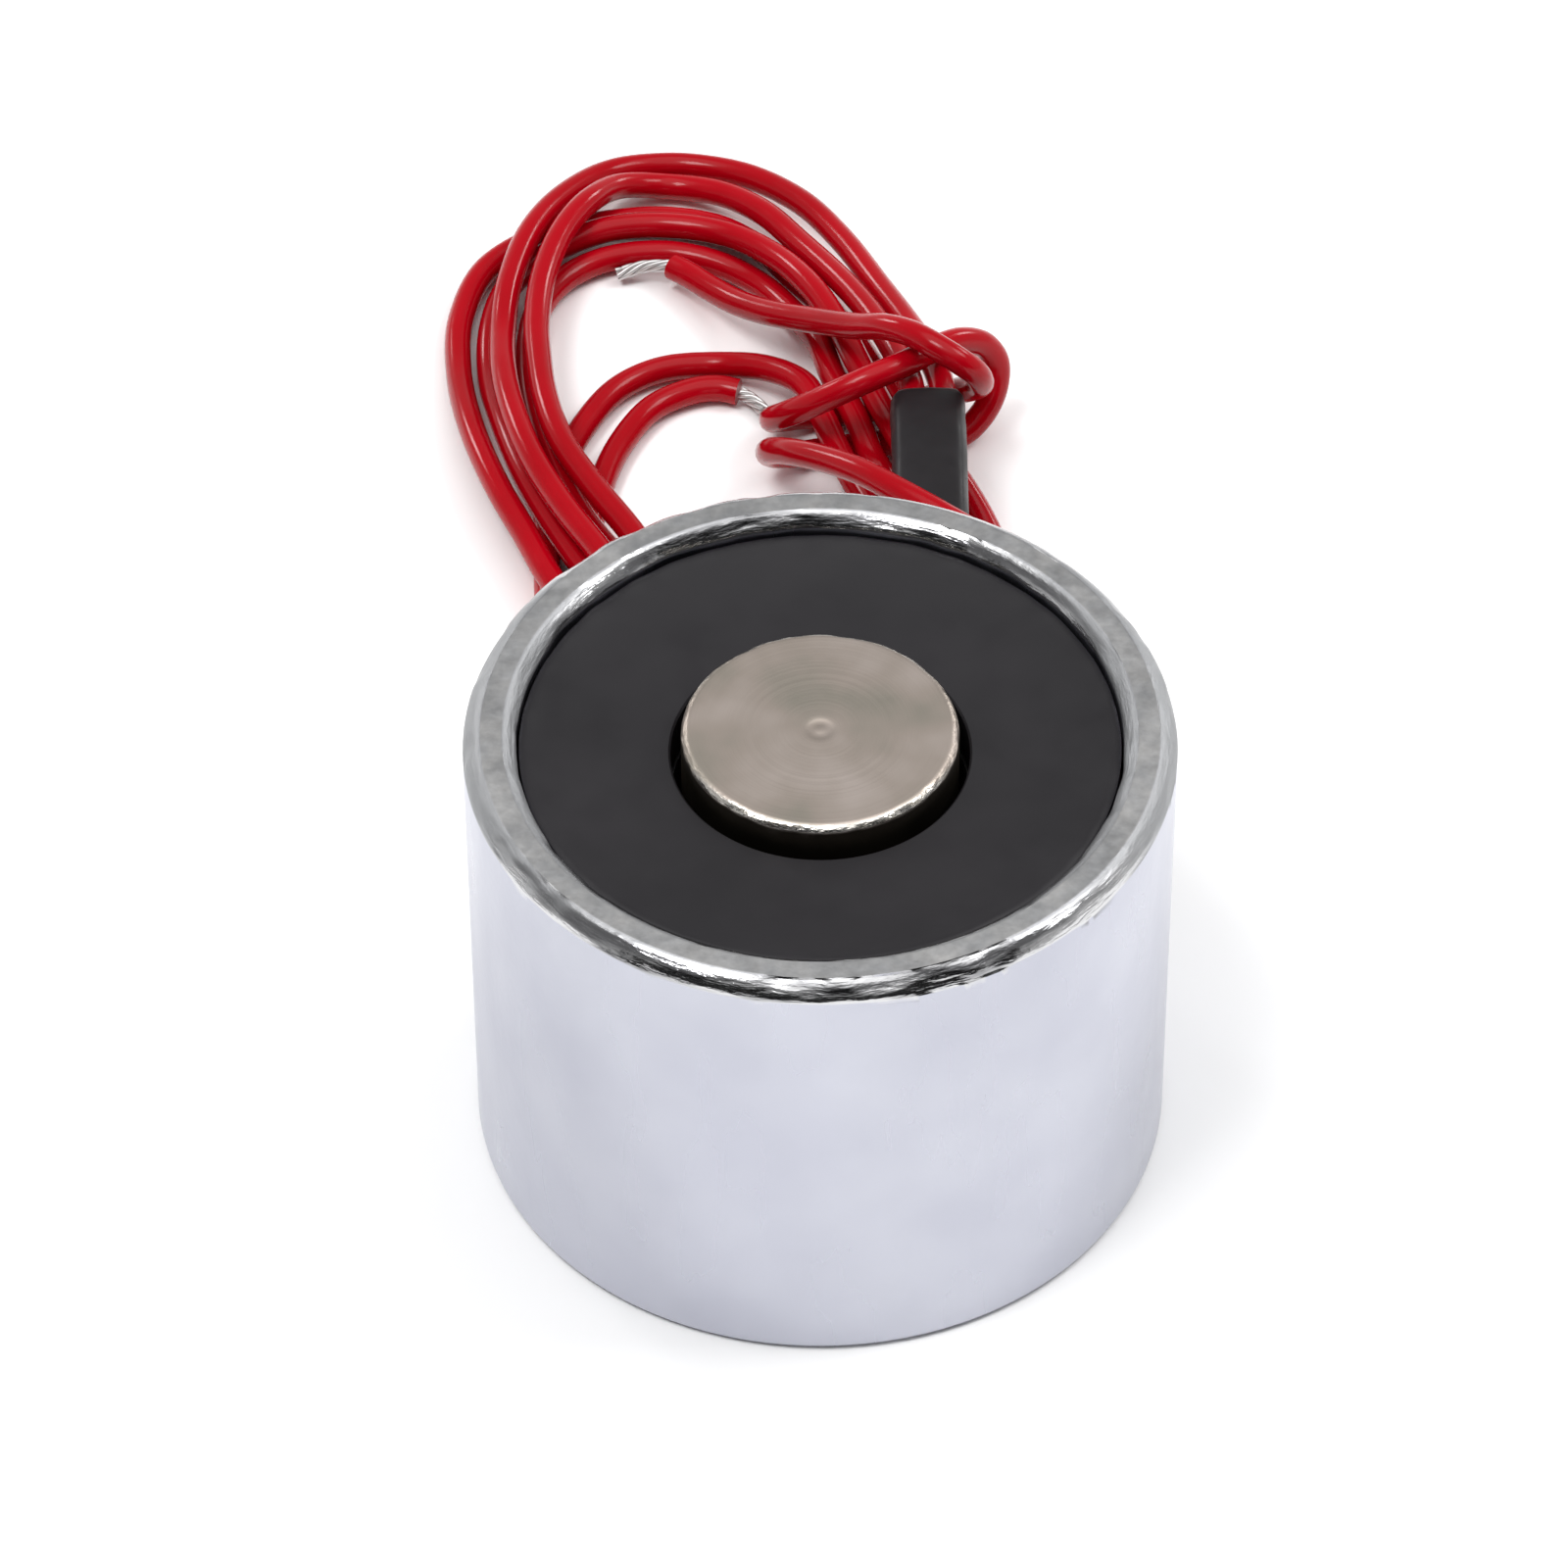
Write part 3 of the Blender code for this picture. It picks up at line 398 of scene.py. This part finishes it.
def turned_grain(made, rings_per_metre):
    """Fine rings round the axis, as a lathe tool leaves them on a face."""
    place = node(made, "ShaderNodeTexCoord")
    parts = node(made, "ShaderNodeSeparateXYZ")
    flat = node(made, "ShaderNodeCombineXYZ")
    length = node(made, "ShaderNodeVectorMath", operation="LENGTH")
    grain = node(made, "ShaderNodeTexNoise", Scale=rings_per_metre, Detail=2.0)
    grain.noise_dimensions = "1D"
    link(made, place.outputs["Object"], parts.inputs["Vector"])
    link(made, parts.outputs["X"], flat.inputs["X"])
    link(made, parts.outputs["Y"], flat.inputs["Y"])
    link(made, flat.outputs["Vector"], length.inputs[0])
    link(made, length.outputs["Value"], grain.inputs["W"])
    return grain.outputs["Fac"]


def facing(made, axis, stops, both_ways=True):
    """Levels from how far a face looks along an axis, or along its other way too."""
    shape = node(made, "ShaderNodeNewGeometry")
    parts = node(made, "ShaderNodeSeparateXYZ")
    link(made, shape.outputs["Normal"], parts.inputs["Vector"])
    amount = parts.outputs[axis]
    if both_ways:
        size = node(made, "ShaderNodeMath", operation="ABSOLUTE")
        link(made, amount, size.inputs[0])
        amount = size.outputs["Value"]
    return ramp(made, amount, [(place, grey(level)) for place, level in stops])


def bump(made, height, strength, distance, below=None):
    """A bump from a height factor, over an earlier bump."""
    new = node(made, "ShaderNodeBump", Strength=strength, Distance=distance)
    link(made, height, new.inputs["Height"])
    if below is not None:
        link(made, below, new.inputs["Normal"])
    return new.outputs["Normal"]


def mixed(made, factor, first, second):
    """A colour mix by a factor."""
    new = node(made, "ShaderNodeMix", data_type="RGBA")
    link(made, factor, new.inputs["Factor"])
    for socket, value in ((new.inputs["A"], first), (new.inputs["B"], second)):
        if isinstance(value, tuple):
            socket.default_value = (*value, 1.0)
        else:
            link(made, value, socket)
    return new.outputs["Result"]


def mixed_normal(made, factor, first, second):
    """A mix of two normals by a factor."""
    new = node(made, "ShaderNodeMix", data_type="VECTOR")
    link(made, factor, new.inputs["Factor"])
    link(made, first, new.inputs["A"])
    link(made, second, new.inputs["B"])
    return new.outputs["Result"]


# Materials

def plated_steel():
    """Bluish plating, a matt mottled rim, and chamfers with painted glints in their colour at the
    front and the back and painted shade at the sides.
    """
    made = new_material("plating_with_painted_glints", 0.25, 1.0)
    shader = shader_of(made)
    flat = facing(made, "Z", [(0.9, 0.0), (0.99, 1.0)], both_ways=False)
    slopes = [(0.05, 0.0), (0.2, 1.0), (0.93, 1.0), (0.99, 0.0)]
    chamfer = facing(made, "Z", slopes, both_ways=False)
    ends = facing(made, "Y", [(0.27, 0.0), (0.5, 1.0)])

    wall = mottled(made, 260, 2.0, (0.506, 0.515, 0.585), (0.55, 0.56, 0.625), (0.35, 0.7))
    rim = node(made, "ShaderNodeMix", data_type="RGBA", blend_type="MULTIPLY", Factor=1.0)
    link(made, mottled(made, 1300, 4.0, (0.42, 0.425, 0.435), (0.54, 0.535, 0.53)), rim.inputs["A"])
    link(made, mottled(made, 4200, 3.0, grey(0.84), grey(1.0)), rim.inputs["B"])
    # Painted light: where a chamfer looks to the front or the back (ends), its colour is painted
    # glints, bright and dark streaks; at the sides it is a darker grey, painted shade.
    painted_glints = [(0.40, (0.26, 0.26, 0.27)), (0.56, (0.66, 0.66, 0.67))]
    bright = ramp(made, streaks(made, 360, 4200, 4.0), painted_glints)
    edge = mixed(made, ends, (0.38, 0.385, 0.395), bright)
    wall_or_rim = mixed(made, flat, wall, rim.outputs["Result"])
    link(made, mixed(made, chamfer, wall_or_rim, edge), shader.inputs["Base Color"])

    upright = noise_node(made, 500, 3.0, (1, 1, 0.2))
    smear = ramp(made, upright, [(0.3, grey(0.24)), (0.75, grey(0.36))])
    dull = mottled(made, 1500, 3.0, grey(0.36), grey(0.5))
    polish = mixed(made, ends, grey(0.52), grey(0.16))
    rough = mixed(made, chamfer, mixed(made, flat, smear, dull), polish)
    link(made, rough, shader.inputs["Roughness"])

    below = bump(made, noise_node(made, 900, 3.0, (0.15, 0.15, 6.0)), 0.1, 0.02 * MM)
    below = bump(made, noise_node(made, 3600, 3.0), 0.25, 0.03 * MM, below)
    ragged_edge = bump(made, streaks(made, 380, 2600, 5.0), 1.0, 0.11 * MM, below)
    link(made, mixed_normal(made, chamfer, below, ragged_edge), shader.inputs["Normal"])
    return made


def nickel_steel():
    """Warm satin nickel with cloudy patches and fine turning rings, a side painted dark as shade,
    and painted glints on its edge at the front and the back.
    """
    made = new_material("satin_nickel", 0.4, 1.0)
    shader = shader_of(made)
    flat = facing(made, "Z", [(0.1, 0.0), (0.4, 1.0)])
    slopes = [(0.2, 0.0), (0.45, 1.0), (0.94, 1.0), (0.99, 0.0)]
    edge = facing(made, "Z", slopes, both_ways=False)
    ends = facing(made, "Y", [(0.2, 0.0), (0.5, 1.0)])

    patches = noise_node(made, 330, 3.0)
    tones = [(0.3, (0.43, 0.40, 0.34)), (0.5, (0.48, 0.415, 0.365)), (0.7, (0.52, 0.455, 0.415))]
    face = ramp(made, patches, tones)
    # Painted shade: the core's side gets a dark brown colour instead of the nickel tones of the
    # face.
    face_or_painted_shade_side = mixed(made, flat, (0.10, 0.085, 0.065), face)
    # Painted light: where the edge looks to the front or the back (ends), its colour is painted
    # glints, bright streaks over the face tones.
    painted_glints = [(0.40, (0.50, 0.46, 0.40)), (0.55, (0.80, 0.77, 0.72))]
    bright = mixed(made, ends, face, ramp(made, streaks(made, 420, 6000), painted_glints))
    link(made, mixed(made, edge, face_or_painted_shade_side, bright), shader.inputs["Base Color"])

    dull = ramp(made, patches, [(0.3, grey(0.34)), (0.7, grey(0.46))])
    polish = mixed(made, ends, grey(0.45), grey(0.2))
    link(made, mixed(made, edge, dull, polish), shader.inputs["Roughness"])

    below = bump(made, turned_grain(made, 7000), 0.15, 0.02 * MM)
    ragged_edge = bump(made, streaks(made, 520, 4000, 4.0), 1.0, 0.14 * MM, below)
    link(made, mixed_normal(made, edge, below, ragged_edge), shader.inputs["Normal"])
    return made


def cast_resin():
    """Charcoal cast resin: satin, with slight flow waves and fine grain."""
    made = new_material("cast_resin", 0.45, 0.0, 0.3)
    shader = shader_of(made)
    flow = noise_node(made, 220, 3.0)
    colour = ramp(made, flow, [(0.3, (0.0115, 0.0105, 0.0125)), (0.7, (0.0165, 0.0150, 0.0175))])
    link(made, colour, shader.inputs["Base Color"])
    link(made, mottled(made, 700, 3.0, grey(0.4), grey(0.55)), shader.inputs["Roughness"])
    waves = bump(made, flow, 0.2, 0.1 * MM)
    grain = bump(made, noise_node(made, 5000, 2.0), 0.06, 0.02 * MM, waves)
    link(made, grain, shader.inputs["Normal"])
    return made


def red_insulation():
    """Soft red insulation: satin, with slight colour drift along the lead."""
    made = new_material("red_insulation", 0.25, 0.0, 0.22)
    shader = shader_of(made)
    colour = mottled(made, 180, 3.0, (0.31, 0.0002, 0.004), (0.41, 0.0004, 0.007))
    link(made, colour, shader.inputs["Base Color"])
    link(made, mottled(made, 900, 3.0, grey(0.12), grey(0.22)), shader.inputs["Roughness"])
    link(made, bump(made, noise_node(made, 1300, 3.0), 0.12, 0.04 * MM), shader.inputs["Normal"])
    return made


def shrink_sleeve():
    """Near-black shrunk sleeve: satin, with faint long wrinkles."""
    made = new_material("shrink_sleeve", 0.42, 0.0, 0.22)
    shader = shader_of(made)
    colour = mottled(made, 400, 3.0, (0.010, 0.009, 0.010), (0.017, 0.015, 0.017))
    link(made, colour, shader.inputs["Base Color"])
    link(made, mottled(made, 1200, 3.0, grey(0.34), grey(0.5)), shader.inputs["Roughness"])
    wrinkles = noise_node(made, 700, 3.0, (1, 0.25, 1))
    link(made, bump(made, wrinkles, 0.25, 0.06 * MM), shader.inputs["Normal"])
    return made


def bright_wire(name, low, high, roughness):
    """A metal wire or solder with slight variation."""
    made = new_material(name, roughness, 1.0)
    shader = shader_of(made)
    link(made, mottled(made, 1500, 3.0, low, high), shader.inputs["Base Color"])
    link(made, bump(made, noise_node(made, 6000, 2.0), 0.15, 0.02 * MM), shader.inputs["Normal"])
    return made


def plain_plastic(name, low, high, roughness):
    """A moulded or film plastic with slight variation."""
    made = new_material(name, roughness, 0.0)
    shader = shader_of(made)
    link(made, mottled(made, 500, 3.0, low, high), shader.inputs["Base Color"])
    link(made, bump(made, noise_node(made, 4000, 2.0), 0.1, 0.02 * MM), shader.inputs["Normal"])
    return made


# Camera, floor and lights

def make_camera():
    """The camera at the photograph's angle."""
    data = bpy.data.cameras.new("camera")
    camera = bpy.data.objects.new("camera", data)
    bpy.context.collection.objects.link(camera)
    back = Vector((0, -cos(CAMERA_ELEVATION), sin(CAMERA_ELEVATION)))
    camera.location = CAMERA_AIM + back * CAMERA_DISTANCE
    camera.rotation_euler = (pi / 2 - CAMERA_ELEVATION, 0, 0)
    data.sensor_width = 36
    data.lens = LENS
    data.shift_x, data.shift_y = SHIFT
    data.clip_start = 0.005
    data.clip_end = 20
    bpy.context.scene.camera = camera


def make_floor():
    """A plain white floor."""
    made = new_material("floor", 0.9, 0.0, 0.1)
    shader_of(made).inputs["Base Color"].default_value = (*grey(0.97), 1)
    far = FLOOR_HALF_WIDTH
    mesh = bpy.data.meshes.new("floor")
    corners = [(-far, -far, 0), (far, -far, 0), (far, far, 0), (-far, far, 0)]
    mesh.from_pydata(corners, [], [(0, 1, 2, 3)])
    floor = bpy.data.objects.new("floor", mesh)
    bpy.context.collection.objects.link(floor)
    mesh.materials.append(made)


def area_light(name, place, size, power):
    """A square soft light that looks at the object."""
    data = bpy.data.lights.new(name, "AREA")
    data.size = size
    data.energy = power
    lamp = bpy.data.objects.new(name, data)
    bpy.context.collection.objects.link(lamp)
    lamp.location = place
    lamp.rotation_euler = (Vector(LIGHT_AIM) - Vector(place)).to_track_quat("-Z", "Y").to_euler()


def fade(world, source, start, end):
    """A level that goes from 0 at start to 1 at end."""
    new = node(world, "ShaderNodeMapRange")
    new.inputs["From Min"].default_value = start
    new.inputs["From Max"].default_value = end
    link(world, source, new.inputs["Value"])
    return new.outputs["Result"]


def make_world():
    """A grey room with a bright ceiling, and a dark patch low in front for the front chamfer."""
    world = bpy.data.worlds.new("room")
    bpy.context.scene.world = world
    world.use_nodes = True
    place = node(world, "ShaderNodeTexCoord")
    parts = node(world, "ShaderNodeSeparateXYZ")
    link(world, place.outputs["Generated"], parts.inputs["Vector"])
    levels = [(height, grey(level)) for height, level in ROOM_LEVELS]
    walls = ramp(world, parts.outputs["Z"], levels)
    patch = node(world, "ShaderNodeMath", operation="MULTIPLY")
    link(world, fade(world, parts.outputs["Y"], *PATCH_TO_THE_FRONT), patch.inputs[0])
    link(world, fade(world, parts.outputs["Z"], *PATCH_TOP), patch.inputs[1])
    room = mixed(world, patch.outputs["Value"], walls, grey(PATCH_LEVEL))
    link(world, room, world.node_tree.nodes["Background"].inputs["Color"])


# Pieces

def lead(name, route, finish):
    """One insulated lead along its route."""
    curve = bpy.data.curves.new(name, "CURVE")
    curve.dimensions = "3D"
    curve.bevel_depth = LEAD_DIAMETER / 2
    curve.bevel_resolution = 6
    curve.use_fill_caps = True
    points = smooth_curve(route, ROUTE_STEPS)
    spline = curve.splines.new("POLY")
    spline.points.add(len(points) - 1)
    for stop, point in zip(spline.points, points):
        stop.co = (*point, 1.0)
    piece = bpy.data.objects.new(name + "_insulation", curve)
    bpy.context.collection.objects.link(piece)
    curve.materials.append(finish)
    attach(piece, BODY)
    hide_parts(name)


def tinned_strands(name, route, finish):
    """Bare strands, six twisted round one, out of the end of a lead."""
    radius = 0.075 * MM
    lay = 0.14 * MM
    turns = 0.6
    sides = 8
    outer_strands = 6
    short_strand_end = 0.93
    fray_start = 0.6
    fray = 0.25
    placed = stations(smooth_curve(route, ROUTE_STEPS))
    corners = []
    faces = []
    for number in range(outer_strands + 1):
        first = len(corners)
        reach = 0.0 if number == outer_strands else lay
        rings = 0
        for index, (point, side, up) in enumerate(placed):
            share = index / (len(placed) - 1)
            if number % 3 == 1 and share > short_strand_end:
                break
            angle = 2 * pi * (number / outer_strands + turns * share)
            spread = 1.0 + fray * max(0.0, share - fray_start)
            centre = point + (side * cos(angle) + up * sin(angle)) * reach * spread
            for corner in range(sides):
                around = 2 * pi * corner / sides
                corners.append(centre + (side * cos(around) + up * sin(around)) * radius)
            rings += 1
        faces += ring_walls(rings, sides, first)
        faces.append(tuple(range(first + sides - 1, first - 1, -1)))
        last = first + sides * (rings - 1)
        faces.append(tuple(range(last, last + sides)))
    piece = mesh_piece(name + "_strands", corners, faces, finish, 60)
    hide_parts(name)
    return piece


def sleeve_section(share, inset, sides):
    """One closed outline of the sleeve, as offsets to the side and up, at a share of its length."""
    clearance = 0.27 * MM
    half_width = (LEAD_PITCH + LEAD_DIAMETER) / 2 + clearance
    half_height = LEAD_DIAMETER / 2 + clearance
    side_roundness = 1.35
    valley_depth = 0.10 * MM
    valley_half_width = 0.45 * MM
    ripple_size = 0.03 * MM
    shoulder_start = 0.955
    shoulder_size = 0.22 * MM
    end_narrowing = 0.12
    end = (max(0.0, share - shoulder_start) / (1 - shoulder_start)) ** 3
    outline = []
    for index in range(sides):
        angle = 2 * pi * index / sides
        across = cos(angle)
        flat = max(-1.0, min(1.0, side_roundness * across))
        straight = (half_width - half_height) * flat
        valley = valley_depth * max(0.0, 1 - (straight / valley_half_width) ** 2)
        ripple = ripple_size * noise.noise(Vector((across * 2, share * 14, inset * 900)))
        reach = half_height - inset + ripple - shoulder_size * end
        to_side = straight * (1 - end_narrowing * end) + reach * across
        outline.append((to_side, (reach - valley) * sin(angle)))
    return outline


def sleeve(finish):
    """The shrink sleeve: it follows both leads, with a soft valley between them."""
    wall = 0.15 * MM
    sides = 56
    placed = stations(smooth_curve(SLEEVE_ROUTE, 10))
    corners = []
    faces = []
    for inset in (0.0, wall):
        first = len(corners)
        for index, (point, side, up) in enumerate(placed):
            for to_side, upward in sleeve_section(index / (len(placed) - 1), inset, sides):
                corners.append(point + side * to_side + up * upward)
        walls = ring_walls(len(placed), sides, first)
        faces += walls if inset == 0.0 else [tuple(reversed(face)) for face in walls]
    shift = len(placed) * sides
    for ring in (0, len(placed) - 1):
        for index in range(sides):
            a = ring * sides + index
            b = ring * sides + (index + 1) % sides
            face = (a, a + shift, b + shift, b)
            faces.append(face if ring == 0 else tuple(reversed(face)))
    piece = mesh_piece("lead_sleeve_skin", corners, faces, finish, 50)
    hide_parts("lead_sleeve")
    return piece


def ragged(angle, height, seed, size):
    """An uneven offset round a rim, from fine and coarse noise."""
    fine = noise.noise(Vector((9 * cos(angle), 9 * sin(angle), seed + height)))
    coarse = noise.noise(Vector((3 * cos(angle), 3 * sin(angle), seed)))
    return size * (0.6 * fine + 0.6 * coarse)


def pot_wobble(radius, height, angle):
    """Uneven chamfers, a true wall and a true flat."""
    lowest = CUP_HEIGHT - RIM_CHAMFER - 0.01 * MM
    highest = CUP_HEIGHT - 0.005 * MM
    middle_of_rim = CUP_RADIUS - 0.7 * MM
    if height < lowest or height > highest:
        return radius, height
    if radius > middle_of_rim:
        offset = min(0.0, ragged(angle, height * POT_HEIGHT_WAVES, RIM_SEED, RIM_UNEVEN))
        return radius + offset, height + offset
    offset = max(0.0, ragged(angle, height * POT_HEIGHT_WAVES, MOUTH_SEED, MOUTH_UNEVEN))
    return radius + offset, height


def pot_profile():
    """The pot's closed profile, with extra rings by the chamfers that keep the shading true."""
    shoulder = CUP_RADIUS - RIM_CHAMFER
    mouth = BORE_RADIUS + MOUTH_CHAMFER
    flat_rings = (0.04 * MM, 0.2 * MM)
    wall_rings = (0.08 * MM, 0.4 * MM)
    profile = [(shoulder - inset, CUP_HEIGHT) for inset in reversed(flat_rings)]
    for out, up in soft_chamfer(RIM_CHAMFER):
        profile.append((shoulder + out, CUP_HEIGHT - RIM_CHAMFER + up))
    profile += [(CUP_RADIUS, CUP_HEIGHT - RIM_CHAMFER - drop) for drop in wall_rings]
    profile += [(CUP_RADIUS, share * CUP_HEIGHT) for share in (0.75, 0.5, 0.2)]
    profile += arc((CUP_RADIUS - BASE_CHAMFER, BASE_CHAMFER), BASE_CHAMFER, 0, -90, 6)
    profile += [(CORE_BORE, 0.0), (CORE_BORE, CUP_FLOOR), (BORE_RADIUS, CUP_FLOOR)]
    profile.append((BORE_RADIUS, 0.5 * CUP_HEIGHT))
    profile.append((BORE_RADIUS, CUP_HEIGHT - MOUTH_CHAMFER - wall_rings[0]))
    for up, inward in soft_chamfer(MOUTH_CHAMFER):
        profile.append((mouth - inward, CUP_HEIGHT - MOUTH_CHAMFER + up))
    profile += [(mouth + inset, CUP_HEIGHT) for inset in flat_rings]
    profile.append(profile[0])
    return profile


def lead_hole_drill():
    """A round bar that cuts the lead hole."""
    half_length = 2.5 * MM
    start_inside_wall = 1.6 * MM
    profile = [(ON_AXIS, -half_length), (LEAD_HOLE_RADIUS, -half_length)]
    profile += [(LEAD_HOLE_RADIUS, half_length), (ON_AXIS, half_length), (ON_AXIS, -half_length)]
    points, faces = turned(profile, DRILL_STEPS)
    mesh = bpy.data.meshes.new("drill")
    mesh.from_pydata(points, [], faces)
    drill = bpy.data.objects.new("drill", mesh)
    bpy.context.collection.objects.link(drill)
    side = LEAD_EXIT[0] * MM
    drill.rotation_euler = (pi / 2, 0, 0)
    drill.location = (side, hypot(CUP_RADIUS, side) - start_inside_wall, LEAD_HOLE_HEIGHT)
    return drill


def pot(finish):
    """The plated pot with rounded, slightly uneven chamfers and the lead hole."""
    smooth_angle = 25
    points, faces = turned(pot_profile(), POT_STEPS, pot_wobble)
    piece = mesh_piece("pot", points, faces, finish, smooth_angle)
    drill = lead_hole_drill()
    boolean = piece.modifiers.new("lead hole", "BOOLEAN")
    boolean.object = drill
    boolean.solver = "EXACT"
    bpy.context.view_layer.update()
    graph = bpy.context.evaluated_depsgraph_get()
    cut_mesh = bpy.data.meshes.new_from_object(piece.evaluated_get(graph))
    piece.modifiers.clear()
    piece.data = cut_mesh
    cut_mesh.shade_smooth()
    cut_mesh.set_sharp_from_angle(angle=radians(smooth_angle))
    bpy.data.objects.remove(drill)
    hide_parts("cup")


def pole_wobble(radius, height, angle):
    """A slightly uneven edge and a true face."""
    on_edge = abs(radius - POLE_RADIUS) < 0.25 * MM and height > CUP_HEIGHT - 0.3 * MM
    on_face = height > CUP_HEIGHT - 0.002 * MM
    if on_face or not on_edge:
        return radius, height
    offset = min(0.0, ragged(angle, height * POLE_HEIGHT_WAVES, POLE_SEED, POLE_UNEVEN))
    return radius + offset, height


def pole(finish):
    """The core with a soft uneven edge, a small turning mark and the threaded hole in its back."""
    edge = 0.25 * MM
    side_rings = (14.2 * MM, 8.0 * MM, SPIGOT_HEIGHT)
    profile = [(ON_AXIS, CUP_HEIGHT - 0.02 * MM)]
    profile += [(radius * MM, CUP_HEIGHT - depth * MM) for radius, depth in TURNING_MARK]
    profile += [(2.0 * MM, CUP_HEIGHT), (POLE_RADIUS - 2 * edge, CUP_HEIGHT)]
    profile.append((POLE_RADIUS - 1.15 * edge, CUP_HEIGHT))
    profile += arc((POLE_RADIUS - edge, CUP_HEIGHT - edge), edge, 90, 0, 6)
    profile += [(POLE_RADIUS, height) for height in side_rings]
    profile += [(SPIGOT_RADIUS, SPIGOT_HEIGHT), (SPIGOT_RADIUS, 0.0)]
    profile += [(COUNTERSINK_RADIUS, 0.0), (THREAD_CREST, THREAD_START)]
    for turn in range(THREAD_TURNS):
        height = THREAD_START + THREAD_PITCH * turn
        profile.append((THREAD_CREST, height + 0.2 * THREAD_PITCH))
        profile.append((THREAD_ROOT, height + 0.7 * THREAD_PITCH))
    profile += [(THREAD_CREST, HOLE_DEPTH), (ON_AXIS, HOLE_TIP)]
    points, faces = turned(profile, POLE_STEPS, pole_wobble)
    piece = mesh_piece("pole", points, faces, finish, 25)
    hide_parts("core")


def resin_wobble(radius, height, angle):
    """Low waves in the cast face, stronger at the wall."""
    if height < RESIN_LEVEL - 0.001 * MM:
        return radius, height
    place = Vector((radius * cos(angle), radius * sin(angle), 0))
    wave = 0.02 * MM * noise.noise(place * 260)
    near_wall = min(1.0, max(0.0, (radius - 7.7 * MM) / (0.8 * MM)))
    rough = 0.05 * MM * near_wall * noise.noise(place * 1300 + Vector((0, 0, 4)))
    return radius, height + wave + rough


def resin(finish):
    """The cast face: open round the core, it climbs to the wall and leaves a thin gap there."""
    outer = BORE_RADIUS - 0.07 * MM
    inner = POLE_RADIUS + RESIN_CORE_GAP
    bottom = 12.85 * MM
    soft = 0.06 * MM
    climb_start = 5.2 * MM
    flat_steps = 6
    climb_steps = 30
    edge_start = 0.94
    edge_drop = 0.10 * MM
    profile = [(outer, bottom), (inner, bottom), (inner, RESIN_LEVEL - soft)]
    profile.append((inner + soft, RESIN_LEVEL))
    for step in range(1, flat_steps + 1):
        out = (climb_start - inner - soft) * step / flat_steps
        profile.append((inner + soft + out, RESIN_LEVEL))
    for step in range(1, climb_steps + 1):
        share = step / climb_steps
        drop = edge_drop * (max(0.0, share - edge_start) / (1 - edge_start)) ** 2
        height = RESIN_LEVEL + RESIN_CLIMB * share ** 2 - drop
        profile.append((climb_start + (outer - climb_start) * share, height))
    profile.append((outer, bottom))
    points, faces = turned(profile, RESIN_STEPS, resin_wobble)
    piece = mesh_piece("resin_face", points, faces, finish, 40)
    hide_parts("potting")


def inner_finishes(frame):
    """Materials of the pieces inside the pot."""
    enamel = bright_wire("enamelled_copper", (0.45, 0.15, 0.04), (0.62, 0.24, 0.08), 0.28)
    solder = bright_wire("solder", (0.5, 0.5, 0.5), (0.62, 0.62, 0.63), 0.3)
    nylon = plain_plastic("bobbin_nylon", grey(0.022), grey(0.035), 0.5)
    film = plain_plastic("tape_film", (0.62, 0.38, 0.04), (0.75, 0.5, 0.07), 0.25)
    finishes = {"bobbin": nylon, "winding_tape": film, "winding": enamel, "start_tail": enamel,
                "finish_tail": enamel, "joint_a": solder, "joint_b": solder}
    for name, finish in finishes.items():
        piece = frame["nodes"][name]
        piece.data.materials.clear()
        piece.data.materials.append(finish)


def main():
    """Load the model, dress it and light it."""
    for old in list(bpy.data.objects):
        bpy.data.objects.remove(old)
    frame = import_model()
    bpy.context.scene.view_settings.view_transform = "Standard"
    make_camera()
    tin = bright_wire("tinned_strands", (0.55, 0.545, 0.54), (0.68, 0.67, 0.66), 0.45)
    red = red_insulation()
    skin = sleeve(shrink_sleeve())
    strands_a = tinned_strands("tinned_end_a", TINNED_A_ROUTE, tin)
    lead("lead_a", LEAD_A_ROUTE, red)
    strands_b = tinned_strands("tinned_end_b", TINNED_B_ROUTE, tin)
    lead("lead_b", LEAD_B_ROUTE, red)
    pot(plated_steel())
    pole(nickel_steel())
    resin(cast_resin())
    inner_finishes(frame)
    make_floor()
    make_world()
    for light in LIGHTS:
        area_light(*light)


main()
